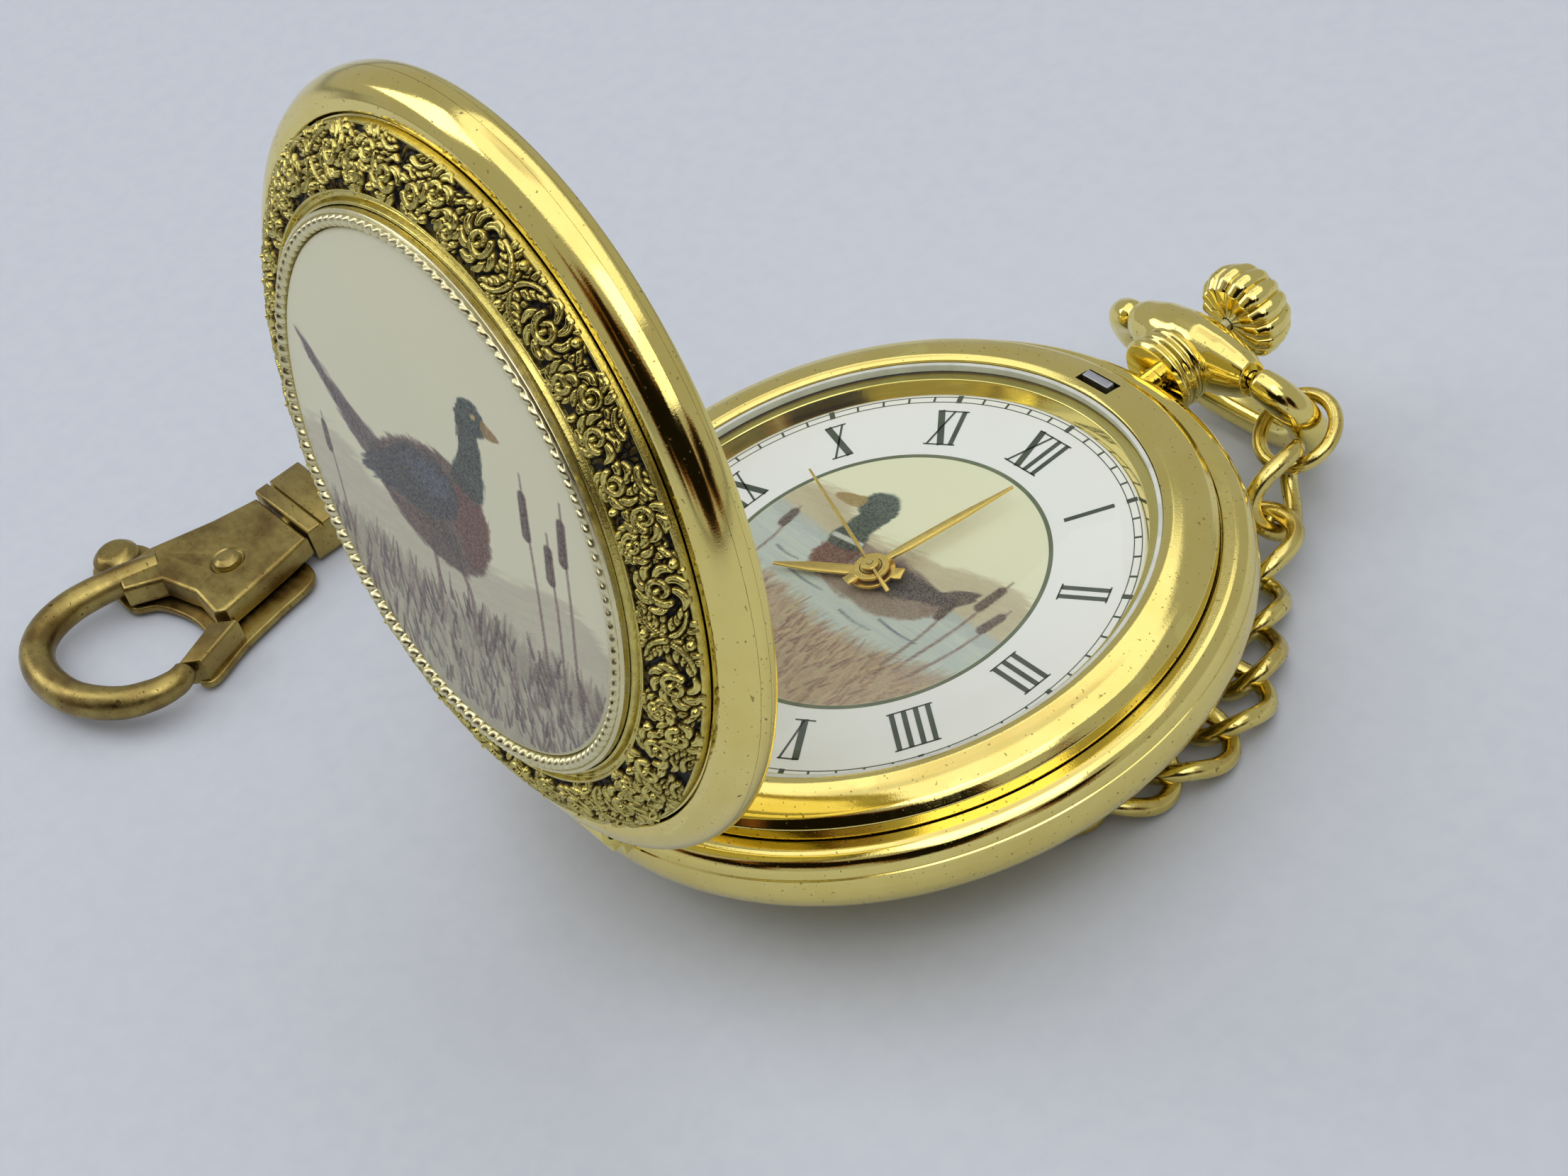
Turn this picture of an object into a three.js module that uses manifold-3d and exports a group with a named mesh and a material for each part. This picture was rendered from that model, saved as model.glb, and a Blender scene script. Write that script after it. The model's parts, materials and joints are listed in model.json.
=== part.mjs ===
// Hunter pocket watch with its lid standing open, its chain and its snap hook.
// Millimetres. +Z is up from the flat of the back, +Y runs to the crown at twelve, +X to three o'clock.
import * as THREE from 'three';
import { mergeVertices } from 'three/addons/utils/BufferGeometryUtils.js';
import Module from 'manifold-3d';

const wasm = await Module();
wasm.setup();

// ---- driving dimensions -------------------------------------------------
const ROUND = 32;                 // sides of the large turned rings
const CASE_R = 24.0;              // widest radius of the case
const DIAL_Z = 7.6;               // height of the dial's printed face
const DIAL_R = 18.3;
const STEM_Z = 6.5;               // height of the winding axis
const HINGE_Y = -24.5;            // lid hinge axis
const HINGE_Z = 8.3;
const LID_OPEN = 79;              // degrees from closed, as modelled
const HEAD_Y = 28.0;              // pendant head, where the bow pivots
const HEAD_SWELL = 1.22;          // how much taller the head is than it is deep
const BOW_DROP = -68;             // degrees of the bow below straight out
const CHAIN_Z = -1.52;            // middle of the chain where it lies flat
const LINK = { half: 2.85, side: 2.4, wire: 0.56, twist: 0.215, pitch: 4.4 };
const FIRST_ROLLS = [90, 22];     // degrees the first two links are turned about the chain
const JUMP_RING = { along: 3.6, side: 8.1, radius: 2.7, wire: 0.5, slack: 0.75, hang: 26 };
const HOUR_TURN = -240.9;         // hands at rest, degrees clockwise from twelve
const MINUTE_TURN = -10.8;
const SECOND_TURN = -288;
const RIVET = [-49.4, -23.7];     // pivot of the snap hook's lever

// ---- looks ---------------------------------------------------------------
const LOOK = {
  gold: [0xc9b25a, 0.22, 1.0],
  palegold: [0xd8cda0, 0.3, 1.0],
  oldgold: [0x9a7a2c, 0.5, 1.0],
  brass: [0xb5a05c, 0.4, 1.0],
  bronze: [0x6f6338, 0.45, 1.0],
  steel: [0xb9bcc0, 0.3, 1.0],
  copper: [0xb06a3c, 0.4, 1.0],
  ivory: [0xded9bd, 0.45, 0.0],
  dial: [0xf2f1e6, 0.5, 0.0],
  glass: [0xe8f0f2, 0.05, 0.0],
  rubber: [0xd9dbd6, 0.6, 0.0],
  holder: [0xf0f0ec, 0.6, 0.0],
  board: [0x2e6b46, 0.5, 0.0],
  plastic: [0xcfc8b8, 0.5, 0.0],
};

// ---- geometry helpers ----------------------------------------------------
const rad = THREE.MathUtils.degToRad;
const root = new THREE.Group();
root.name = 'pocket_watch';

// Turn any closed three.js surface into a solid that can be added and cut.
function solid(geometry) {
  const bare = new THREE.BufferGeometry();
  bare.setAttribute('position', geometry.getAttribute('position').clone());
  if (geometry.index) bare.setIndex(geometry.index.clone());
  const welded = mergeVertices(bare, 1e-4);
  const ids = welded.index.array;
  const kept = [];
  for (let i = 0; i < ids.length; i += 3) {
    const [a, b, c] = [ids[i], ids[i + 1], ids[i + 2]];
    if (a !== b && b !== c && c !== a) kept.push(a, b, c);
  }
  return new wasm.Manifold(new wasm.Mesh({
    numProp: 3,
    vertProperties: new Float32Array(welded.getAttribute('position').array),
    triVerts: new Uint32Array(kept),
  }));
}

// Revolve a closed profile of [radius, height] points about Z.
function turned(profile, sides = ROUND) {
  const area = profile.reduce((sum, [x, y], i) => {
    const [nx, ny] = profile[(i + 1) % profile.length];
    return sum + x * ny - nx * y;
  }, 0);
  const order = area > 0 ? profile : [...profile].reverse();
  const points = order.map(([x, y]) => new THREE.Vector2(x, y));
  points.push(points[0].clone());
  const lathe = new THREE.LatheGeometry(points, sides);
  lathe.rotateX(Math.PI / 2);
  return solid(lathe);
}

// A plain cylinder from one height to another.
const disc = (r, z0, z1, sides = 20) => turned([[0, z0], [r, z0], [r, z1], [0, z1]], sides);

// A flat ring.
const ring = (r0, r1, z0, z1, sides = ROUND) => turned([[r0, z0], [r1, z0], [r1, z1], [r0, z1]], sides);

// A box given by its low and high corners.
function box(low, high) {
  const size = high.map((v, i) => v - low[i]);
  const shape = new THREE.BoxGeometry(...size);
  shape.translate(...low.map((v, i) => v + size[i] / 2));
  return solid(shape);
}

// A plate cut from a polygon, from one height to another.
function plate(outline, z0, z1) {
  const shape = new THREE.Shape(outline.map(([x, y]) => new THREE.Vector2(x, y)));
  const body = new THREE.ExtrudeGeometry(shape, { depth: z1 - z0, bevelEnabled: false });
  body.translate(0, 0, z0);
  return solid(body);
}

// A bar that follows a path. Each row of `frames` is {at, u, v, r}: centre, two cross directions, radius.
function bar(frames, sides, closed) {
  const spots = [];
  const faces = [];
  for (const { at, u, v, r } of frames) {
    for (let k = 0; k < sides; k++) {
      const t = (k + 0.5) * 2 * Math.PI / sides;
      const p = at.clone().addScaledVector(u, r * Math.cos(t)).addScaledVector(v, r * Math.sin(t));
      spots.push(p.x, p.y, p.z);
    }
  }
  const rows = frames.length;
  for (let i = 0; i < (closed ? rows : rows - 1); i++) {
    const j = (i + 1) % rows;
    for (let k = 0; k < sides; k++) {
      const m = (k + 1) % sides;
      faces.push(i * sides + k, i * sides + m, j * sides + m, i * sides + k, j * sides + m, j * sides + k);
    }
  }
  if (!closed) {
    for (let k = 1; k < sides - 1; k++) {
      faces.push(0, k + 1, k);
      const end = (rows - 1) * sides;
      faces.push(end, end + k, end + k + 1);
    }
  }
  const body = new THREE.BufferGeometry();
  body.setAttribute('position', new THREE.BufferAttribute(new Float32Array(spots), 3));
  body.setIndex(faces);
  return solid(body);
}

// Frames along a curve through points, with the bar's width measured against a fixed side direction.
function framesAlong(points, radii, side, closed) {
  const count = points.length;
  return points.map((at, i) => {
    const before = points[closed ? (i + count - 1) % count : Math.max(i - 1, 0)];
    const after = points[closed ? (i + 1) % count : Math.min(i + 1, count - 1)];
    const along = after.clone().sub(before).normalize();
    const v = along.clone().cross(side).normalize();
    const u = v.clone().cross(along).normalize();
    return { at, u, v, r: Array.isArray(radii) ? radii[i] : radii };
  });
}

// Place a solid by a three.js matrix.
function placed(body, matrix) {
  return body.transform([...matrix.elements]);
}

function turn(body, axis, degrees, at = [0, 0, 0]) {
  const m = new THREE.Matrix4().makeTranslation(...at)
    .multiply(new THREE.Matrix4().makeRotationAxis(new THREE.Vector3(...axis), rad(degrees)))
    .multiply(new THREE.Matrix4().makeTranslation(...at.map((v) => -v)));
  return placed(body, m);
}

// A body of revolution built on Z, laid along +Y with its zero at [x, y, z].
function alongY(body, at) {
  return turn(body, [1, 0, 0], -90).translate(at);
}

// A body of revolution built on Z, laid along +X.
function alongX(body, at) {
  return turn(body, [0, 1, 0], 90).translate(at);
}

// Finish one named node.
function node(name, body, look) {
  const mesh = body.getMesh();
  const shape = new THREE.BufferGeometry();
  shape.setAttribute('position', new THREE.BufferAttribute(new Float32Array(mesh.vertProperties), 3));
  shape.setIndex([...mesh.triVerts]);
  const [color, roughness, metalness] = LOOK[look];
  const part = new THREE.Mesh(shape, new THREE.MeshStandardMaterial({ color, roughness, metalness }));
  part.name = name;
  part.geometry.computeVertexNormals();
  root.add(part);
}

// Stand a lid piece, drawn closed, in its open position.
const opened = (body) => turn(body, [1, 0, 0], LID_OPEN, [0, HINGE_Y, HINGE_Z]);

// ---- case ----------------------------------------------------------------
const CASE_OUTSIDE = [
  [23.3, 3.0], [23.85, 4.0], [CASE_R, 5.2], [CASE_R, 6.2], [23.8, 6.9], [23.3, 7.4], [22.9, 7.45], [22.1, 7.45],
];

function knuckle(x0, x1) {
  return alongX(disc(0.85, 0, x1 - x0, 16), [x0, HINGE_Y, HINGE_Z]);
}

function caseBody() {
  let body = turned([...CASE_OUTSIDE, [22.1, 7.1], [20.6, 7.1], [20.6, 4.2], [21.75, 4.2], [21.75, 3.0]]);
  for (const [x0, x1] of [[-4.6, -2.2], [2.2, 4.6]]) {
    body = body.add(knuckle(x0, x1));
    body = body.add(box([x0, HINGE_Y + 0.15, 6.2], [x1, HINGE_Y + 1.6, 8.1]));
    body = body.add(box([x0, HINGE_Y - 0.5, 7.0], [x1, HINGE_Y + 1.2, 7.95]));
  }
  body = body.subtract(alongX(disc(0.44, 0, 12, 16), [-6, HINGE_Y, HINGE_Z]));
  return body.subtract(alongY(disc(0.84, 0, 6, 16), [0, 19, STEM_Z]));
}
node('case_body', caseBody(), 'gold');

node('case_back', turned([
  [0, 0], [11, 0], [17, 0.6], [20.6, 1.45], [22.6, 2.35], [23.2, 2.95], [21.65, 2.95], [21.65, 4.0],
  [21.05, 4.0], [21.05, 2.6], [19.8, 2.0], [16.8, 1.25], [11, 0.7], [0, 0.7],
]), 'gold');

function bezel() {
  const body = turned([
    [18.95, 7.25], [22.0, 7.25], [22.0, 8.35], [21.5, 9.0], [20.4, 9.45], [19.2, 9.6],
    [18.75, 9.4], [18.75, 8.95], [18.95, 8.8],
  ]);
  const pocket = box([-4.0, 19.2, 7.0], [1.6, 20.6, 7.75]);
  return body.subtract(pocket).subtract(box([-1.5, 19.3, 7.5], [1.5, 20.6, 10.2]));
}
node('bezel', bezel(), 'gold');

node('crystal', turned([
  [0, 9.3], [12, 9.0], [18.35, 8.7], [18.35, 9.4], [16.6, 9.95], [12, 10.3], [6, 10.52], [0, 10.6],
]), 'glass');
node('crystal_gasket', ring(18.4, 18.7, 8.75, 9.3), 'rubber');
node('chapter_ring', turned([[17.25, 7.7], [18.7, 7.7], [18.7, 8.6], [18.2, 8.6]]), 'gold');

// The dial stands on two feet that reach into the movement holder.
function dial() {
  const body = ring(1.15, DIAL_R, DIAL_Z - 0.4, DIAL_Z);
  const foot = disc(0.4, DIAL_Z - 1.9, DIAL_Z - 0.3, 10);
  return body.add(foot.translate([15.2, 0, 0])).add(foot.translate([-15.2, 0, 0]));
}
node('dial', dial(), 'dial');

// ---- winding stem, crown and pendant -------------------------------------
node('stem', alongY(turned([
  [0, 9.2], [0.42, 9.2], [0.42, 10.6], [0.25, 10.6], [0.25, 11.4], [0.42, 11.4], [0.42, 32.4], [0, 32.4],
], 12), [0, 0, STEM_Z]), 'steel');
node('release_collar', alongY(ring(0.5, 0.7, 21.2, 21.9, 12), [0, 0, STEM_Z]), 'steel');

const CROWN_FLUTES = 14;
// A fluted onion: the radius swells between grooves and closes at both ends.
function crown() {
  const profile = [[1.6, 31.0], [2.6, 31.15], [3.25, 32.0], [3.3, 33.2], [2.7, 34.4], [1.3, 35.0]];
  const steps = CROWN_FLUTES * 2;
  const spots = [];
  const faces = [];
  for (const [r, y] of profile) {
    for (let k = 0; k < steps; k++) {
      const t = k * 2 * Math.PI / steps;
      const depth = r > 2 && k % 2 ? -0.26 : 0;
      spots.push((r + depth) * Math.sin(t), y, STEM_Z + (r + depth) * Math.cos(t));
    }
  }
  for (let i = 0; i < profile.length - 1; i++) {
    for (let k = 0; k < steps; k++) {
      const m = (k + 1) % steps;
      const [a, b, c, d] = [i * steps + k, i * steps + m, (i + 1) * steps + m, (i + 1) * steps + k];
      faces.push(a, b, c, a, c, d);
    }
  }
  const last = (profile.length - 1) * steps;
  for (let k = 1; k < steps - 1; k++) faces.push(0, k + 1, k, last, last + k, last + k + 1);
  const body = new THREE.BufferGeometry();
  body.setAttribute('position', new THREE.BufferAttribute(new Float32Array(spots), 3));
  body.setIndex(faces);
  return solid(body).subtract(alongY(disc(0.5, 29, 32.6, 12), [0, 0, STEM_Z]));
}
node('crown', crown(), 'gold');

// Ribbed neck screwed into the case wall, ending in a barrel-shaped head that carries the bow.
function pendant() {
  let neck = turned([
    [0, 23.0], [0.8, 23.0], [0.8, 24.25], [2.7, 24.25], [2.95, 24.6], [2.5, 25.1],
    [2.9, 25.5], [2.5, 25.9], [2.75, 26.3], [2.3, 26.75], [1.9, 28.9], [0, 28.9],
  ], 16);
  neck = alongY(neck, [0, 0, STEM_Z]);
  const barrel = turned([
    [0, -5.4], [1.1, -5.4], [1.45, -4.6], [1.9, -2.8], [2.1, -1.0], [2.1, 1.0], [1.9, 2.8], [1.45, 4.6],
    [1.1, 5.4], [0, 5.4],
  ], 14);
  const head = alongX(barrel, [0, 0, 0]).scale([1, 1, HEAD_SWELL]).translate([0, HEAD_Y, STEM_Z]);
  let body = neck.add(head);
  body = body.subtract(alongY(disc(0.5, 21, 31, 12), [0, 0, STEM_Z]));
  for (const x of [-5.6, 4.0]) {
    body = body.subtract(alongX(disc(0.62, 0, 1.6, 12), [x, HEAD_Y, STEM_Z]));
  }
  return body;
}
node('pendant', pendant(), 'gold');

// The bow: pins in the head at both ends, thick round wire between them.
function bow() {
  const half = [
    [4.2, 0, 0.54], [5.7, 0, 0.54], [6.2, 0.1, 1.0], [7.3, 0.8, 1.2], [8.05, 2.3, 1.25], [8.15, 4.1, 1.25],
    [7.4, 6.0, 1.25], [5.5, 7.6, 1.25], [2.9, 8.5, 1.25], [0, 8.7, 1.25],
  ];
  const rows = [...half, ...half.slice(0, -1).reverse().map(([x, y, r]) => [-x, y, r])];
  const points = rows.map(([x, y]) => new THREE.Vector3(x, y, 0));
  const frames = framesAlong(points, rows.map((row) => row[2]), new THREE.Vector3(0, 0, 1), false);
  return turn(bar(frames, 8, false), [1, 0, 0], BOW_DROP).translate([0, HEAD_Y, STEM_Z]);
}
node('bow', bow(), 'gold');

// ---- lid (drawn closed, then opened) --------------------------------------
function lidShell() {
  let body = turned([
    [0, 12.2], [17.0, 12.2], [17.3, 11.7], [19.5, 11.2], [21.75, 10.2], [22.6, 10.35],
    [23.4, 10.0], [24.0, 9.3], [24.1, 8.7], [24.1, 8.0], [23.9, 7.6], [22.8, 7.6],
    [22.65, 8.6], [22.5, 9.1], [21.6, 9.6], [19.4, 10.5], [17.2, 11.1], [0, 11.5],
  ]);
  for (const x of [-4.75, 2.1]) {
    body = body.subtract(alongX(disc(1.0, 0, 2.65, 16), [x, HINGE_Y, HINGE_Z]));
    body = body.subtract(box([x, HINGE_Y - 1.1, 7.0], [x + 2.65, HINGE_Y + 1.8, 8.3]));
  }
  body = body.add(knuckle(-2.0, 2.0));
  body = body.add(box([-2.0, HINGE_Y + 0.1, 8.5], [2.0, HINGE_Y + 1.8, 9.1]));
  body = body.subtract(alongX(disc(0.44, 0, 12, 16), [-6, HINGE_Y, HINGE_Z]));
  return body;
}
node('lid_shell', opened(lidShell()), 'gold');
node('lid_ornament_ring', opened(turned([
  [17.35, 11.85], [19.5, 11.32], [21.68, 10.35], [21.68, 10.75], [20.6, 11.7], [19.0, 12.2], [17.35, 12.5],
])), 'oldgold');
node('rope_bezel', opened(turned([
  [16.25, 12.3], [17.25, 12.3], [17.3, 12.8], [17.0, 13.2], [16.6, 13.25], [16.25, 12.9],
])), 'palegold');
node('picture_plate', opened(turned([
  [0, 12.25], [16.2, 12.25], [16.2, 12.85], [14, 13.2], [8, 13.5], [0, 13.6],
])), 'ivory');
node('hinge_pin', alongX(disc(0.4, 0, 9.0, 14), [-4.5, HINGE_Y, HINGE_Z]), 'steel');

// Two flat springs lie round the movement: one lifts the lid, the other holds it shut.
function wallSpring(from, to, r0, r1, z0, z1) {
  const steps = 8;
  const arc = (r) => Array.from({ length: steps + 1 }, (_, i) => {
    const t = rad(from + (to - from) * i / steps);
    return [r * Math.cos(t), r * Math.sin(t)];
  });
  return plate([...arc(r1), ...arc(r0).reverse()], z0, z1);
}

function lidSpring() {
  return wallSpring(-100, -30, 19.45, 20.3, 4.4, 5.6).add(box([-1.9, -20.2, 4.4], [1.9, -19.5, 6.9]));
}
node('lid_spring', lidSpring(), 'steel');

// The catch's blade bends round the movement, crosses over the stem and stands up through the bezel.
function catchSpring() {
  let body = wallSpring(99, 165, 19.5, 20.2, 4.4, 5.4);
  body = body.add(box([-4.0, 19.55, 4.4], [-2.6, 20.05, 7.5]));
  body = body.add(box([-4.0, 19.55, 7.15], [1.2, 20.3, 7.5]));
  return body.add(box([-1.2, 19.7, 7.15], [1.2, 20.3, 9.7]));
}
node('catch_spring', catchSpring(), 'steel');

// ---- movement --------------------------------------------------------------
// A wheel with pointed teeth whose tips stay just clear of the wheel they drive.
function toothed(teeth, tip, depth, z0, z1) {
  const outline = [];
  for (let i = 0; i < teeth * 2; i++) {
    const t = i * Math.PI / teeth;
    const r = i % 2 ? tip - depth : tip;
    outline.push([r * Math.cos(t), r * Math.sin(t)]);
  }
  return plate(outline, z0, z1);
}

const THIRD = [1.975, -3.42];       // centres of the wheels that stand off the hands' axis
const INTERMEDIATE = [1.55, 2.68];
const ROTOR = [4.3, 4.27];
const MINUTE = [-3.62, -1.32];
const BATTERY = [-7.2, -3.2];

function movementHolder() {
  let body = ring(13.2, 19.2, 2.3, 7.05);
  for (const x of [-15.2, 15.2]) body = body.subtract(disc(0.5, 5.5, 8, 10).translate([x, 0, 0]));
  return body.subtract(box([-0.8, 12, 5.6], [0.8, 20, 8]));
}
node('movement_holder', movementHolder(), 'holder');

function mainplate() {
  let body = disc(13.0, 5.2, 6.9, 36);
  body = body.subtract(box([-0.8, 7.9, 5.7], [0.8, 14, 8]));
  body = body.subtract(disc(3.3, 5.4, 8, 20)).subtract(disc(3.2, 5.4, 8, 20).translate([...MINUTE, 0]));
  return body.subtract(disc(0.85, 5, 8, 14));
}
node('mainplate', mainplate(), 'plastic');

function trainBridge() {
  let body = plate([
    [-2.1, -6.2], [5.2, -6.2], [7.2, -1], [7.2, 6.4], [1.5, 7.8], [-1.0, 7.8], [-2.1, 4.5],
  ], 1.3, 1.75);
  for (const [x, y] of [[0, 0], THIRD, INTERMEDIATE, ROTOR]) {
    body = body.subtract(disc(0.27, 1, 2, 10).translate([x, y, 0]));
  }
  for (const [x, y] of [[6.5, 0.2], [0.2, 7.1]]) {
    body = body.add(disc(0.5, 1.5, 5.19, 12).translate([x, y, 0]));
  }
  return body;
}
node('train_bridge', trainBridge(), 'brass');

node('battery', disc(4.7, 1.55, 3.65, 28).translate([...BATTERY, 0]), 'steel');

// A strap that passes under and over the battery and ends in a foot on the mainplate.
function batteryClip() {
  const under = box([-12.2, -3.9, 1.1], [-3.4, -2.5, 1.4]);
  const side = box([-12.2, -4.3, 1.1], [-11.95, -2.5, 4.1]);
  const over = box([-12.2, -4.3, 3.8], [-2.6, -3.9, 4.1]);
  const foot = box([-3.0, -5.0, 3.9], [-2.6, -4.0, 5.19]);
  return under.add(side).add(over).add(foot);
}
node('battery_clip', batteryClip(), 'brass');

// A wound bobbin with a cheek at each end.
function coil() {
  const wound = turned([
    [0, -6.4], [1.5, -6.4], [1.5, -5.9], [1.25, -5.9], [1.25, 1.3], [1.5, 1.3], [1.5, 1.8], [0, 1.8],
  ], 14);
  return alongY(wound, [9.6, 0, 3.2]);
}
node('coil', coil(), 'copper');

function stator() {
  const arm = plate([[2.4, 2.3], [11.0, 2.3], [11.0, 4.6], [6.6, 6.6], [2.4, 6.6]], 3.0, 3.4);
  return arm.subtract(disc(1.6, 2, 4, 18).translate([...ROTOR, 0]));
}
node('stator', stator(), 'steel');

function rotor() {
  const magnet = disc(1.3, 2.6, 3.8, 16);
  const pinion = toothed(6, 0.45, 0.15, 1.95, 2.35);
  return disc(0.2, 1.5, 5.0, 10).add(magnet).add(pinion).translate([...ROTOR, 0]);
}
node('rotor', rotor(), 'steel');

function intermediateWheel() {
  const wheel = toothed(36, 2.7, 0.2, 2.0, 2.25);
  const pinion = toothed(6, 0.45, 0.15, 2.2, 3.0);
  return disc(0.2, 1.5, 4.2, 10).add(wheel).add(pinion).translate([...INTERMEDIATE, 0]);
}
node('intermediate_wheel', intermediateWheel(), 'brass');

// Its arbor runs up through the cannon pinion and carries the second hand.
function secondsWheel() {
  const wheel = toothed(30, 2.6, 0.2, 2.6, 2.9);
  const pinion = toothed(6, 0.5, 0.15, 2.85, 3.45);
  return disc(0.22, 1.5, 9.0, 10).add(wheel).add(pinion);
}
node('seconds_wheel', secondsWheel(), 'brass');

function thirdWheel() {
  const wheel = toothed(45, 3.4, 0.2, 3.05, 3.3);
  const pinion = toothed(6, 0.45, 0.15, 3.25, 4.8);
  return disc(0.2, 1.5, 5.1, 10).add(wheel).add(pinion).translate([...THIRD, 0]);
}
node('third_wheel', thirdWheel(), 'brass');
node('centre_wheel', toothed(48, 3.45, 0.2, 4.4, 4.7).subtract(disc(0.74, 4, 5, 14)), 'brass');

function cannonPinion() {
  const tube = disc(0.7, 3.6, 8.65, 14);
  return toothed(10, 1.0, 0.25, 5.5, 6.0).add(tube).subtract(disc(0.3, 3, 9, 10));
}
node('cannon_pinion', cannonPinion(), 'brass');

function minuteWheel() {
  const wheel = toothed(30, 2.8, 0.2, 5.5, 5.8);
  const pinion = toothed(8, 0.9, 0.25, 5.75, 6.65);
  return disc(0.25, 5.41, 6.85, 10).add(wheel).add(pinion).translate([...MINUTE, 0]);
}
node('minute_wheel', minuteWheel(), 'brass');

function hourWheel() {
  const tube = disc(0.98, 6.15, 8.3, 16);
  return toothed(32, 2.9, 0.25, 6.15, 6.5).add(tube).subtract(disc(0.78, 6, 9, 14));
}
node('hour_wheel', hourWheel(), 'brass');

// A small board with the crystal's can lying on it.
function circuitBoard() {
  const board = plate([
    [-11.2, 2.4], [-3.3, 2.4], [-1.6, 4.4], [-1.2, 10.6], [-4, 11.8], [-8.6, 9.0],
  ], 3.0, 3.4);
  return board.add(alongX(disc(0.75, -8.5, -3.5, 10), [0, 5.6, 4.0]));
}
node('circuit_board', circuitBoard(), 'board');

// ---- hands -------------------------------------------------------------------
// A flat pointed blade with a short tail and a round hub.
function hand(length, tail, width, hub, hole, z0, z1, degrees) {
  const w = width / 2;
  const blade = [
    [-w * 0.7, -tail], [w * 0.7, -tail], [w, 0], [w * 1.1, length * 0.7], [0.06, length], [-0.06, length],
    [-w * 1.1, length * 0.7], [-w, 0],
  ];
  const body = plate(blade, z0, z1).add(disc(hub, z0, z1, 12)).subtract(disc(hole, z0 - 1, z1 + 1, 10));
  return turn(body, [0, 0, 1], degrees);
}
node('hour_hand', hand(7.0, 2.1, 0.85, 1.5, 1.06, 8.0, 8.2, HOUR_TURN), 'gold');
node('minute_hand', hand(10.6, 1.9, 0.7, 1.2, 0.76, 8.42, 8.6, MINUTE_TURN), 'gold');
node('second_hand', hand(10.9, 3.1, 0.26, 0.6, 0.24, 8.8, 8.94, SECOND_TURN), 'gold');

// ---- chain ---------------------------------------------------------------------
const X = new THREE.Vector3(1, 0, 0);
const Z = new THREE.Vector3(0, 0, 1);
const bowAlong = new THREE.Vector3(0, Math.cos(rad(BOW_DROP)), Math.sin(rad(BOW_DROP)));
const bowNormal = X.clone().cross(bowAlong);
const armAt = new THREE.Vector3(JUMP_RING.side, HEAD_Y, STEM_Z).addScaledVector(bowAlong, JUMP_RING.along);
const ringAt = armAt.clone().addScaledVector(bowNormal, -JUMP_RING.slack);
const hangAt = ringAt.clone()
  .addScaledVector(bowNormal, -JUMP_RING.radius * Math.cos(rad(JUMP_RING.hang)))
  .addScaledVector(X, JUMP_RING.radius * Math.sin(rad(JUMP_RING.hang)));

function jumpRing() {
  const points = Array.from({ length: 14 }, (_, i) => {
    const t = i * 2 * Math.PI / 14;
    return ringAt.clone().addScaledVector(X, JUMP_RING.radius * Math.cos(t))
      .addScaledVector(bowNormal, JUMP_RING.radius * Math.sin(t));
  });
  return bar(framesAlong(points, JUMP_RING.wire, bowAlong, true), 6, true);
}
node('jump_ring', jumpRing(), 'gold');

// One curb link in its own frame: an oval of wire twisted about its long axis.
function curbLink() {
  const points = Array.from({ length: 10 }, (_, i) => {
    const t = i * Math.PI / 5;
    const [x, y] = [LINK.half * Math.cos(t), LINK.side * Math.sin(t)];
    return new THREE.Vector3(x, y, LINK.twist * x * y);
  });
  return bar(framesAlong(points, LINK.wire, Z, true), 4, true);
}

// A short bar of solder from one link's end to the start of the next.
const solder = () => alongX(disc(0.35, LINK.pitch - LINK.half, LINK.half, 6), [0, 0, 0]);

// Where the first link sits beyond the jump ring's wire, and the slope that brings two links down.
const FIRST_LEAD = LINK.half - LINK.wire - JUMP_RING.wire - 0.22;
const FIRST_DROP = Math.asin((hangAt.z - CHAIN_Z) / (FIRST_LEAD + 1.5 * LINK.pitch));

// Every section is {links, heading}: heading in plan from +X, in degrees. The first one slopes down.
const CHAIN = [
  { links: 2, heading: -70, drop: FIRST_DROP, rolls: FIRST_ROLLS },
  { links: 1, heading: -50 }, { links: 1, heading: -44 }, { links: 1, heading: -68 },
  { links: 1, heading: -92 }, { links: 1, heading: -116 }, { links: 1, heading: -139 },
  { links: 1, heading: -160 },
  { links: 5, heading: -171 }, { links: 5, heading: -199 }, { links: 2, heading: -178 },
  { links: 1, heading: -156 }, { links: 1, heading: -134 }, { links: 1, heading: -112 },
];

function chainFrames() {
  const all = [];
  let spot = hangAt.clone();
  let lead = FIRST_LEAD;
  for (const [index, section] of CHAIN.entries()) {
    const drop = section.drop ?? 0;
    const h = rad(section.heading);
    const level = Math.cos(drop);
    const along = new THREE.Vector3(Math.cos(h) * level, Math.sin(h) * level, -Math.sin(drop));
    const across = new THREE.Vector3(-Math.sin(h), Math.cos(h), 0);
    const up = along.clone().cross(across);
    const links = [];
    const start = spot.clone();
    for (let i = 0; i < section.links; i++) {
      const centre = spot.clone().addScaledVector(along, lead);
      const roll = rad(section.rolls ? section.rolls[i] : 0);
      const side = across.clone().multiplyScalar(Math.cos(roll)).addScaledVector(up, Math.sin(roll));
      const m = new THREE.Matrix4().makeBasis(along, side, along.clone().cross(side)).setPosition(centre);
      links.push(m);
      spot = centre.clone().addScaledVector(along, LINK.pitch / 2);
      lead = LINK.pitch / 2;
    }
    all.push({ index, start, links, end: spot.clone(), heading: section.heading });
  }
  return all;
}
const chain = chainFrames();
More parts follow.
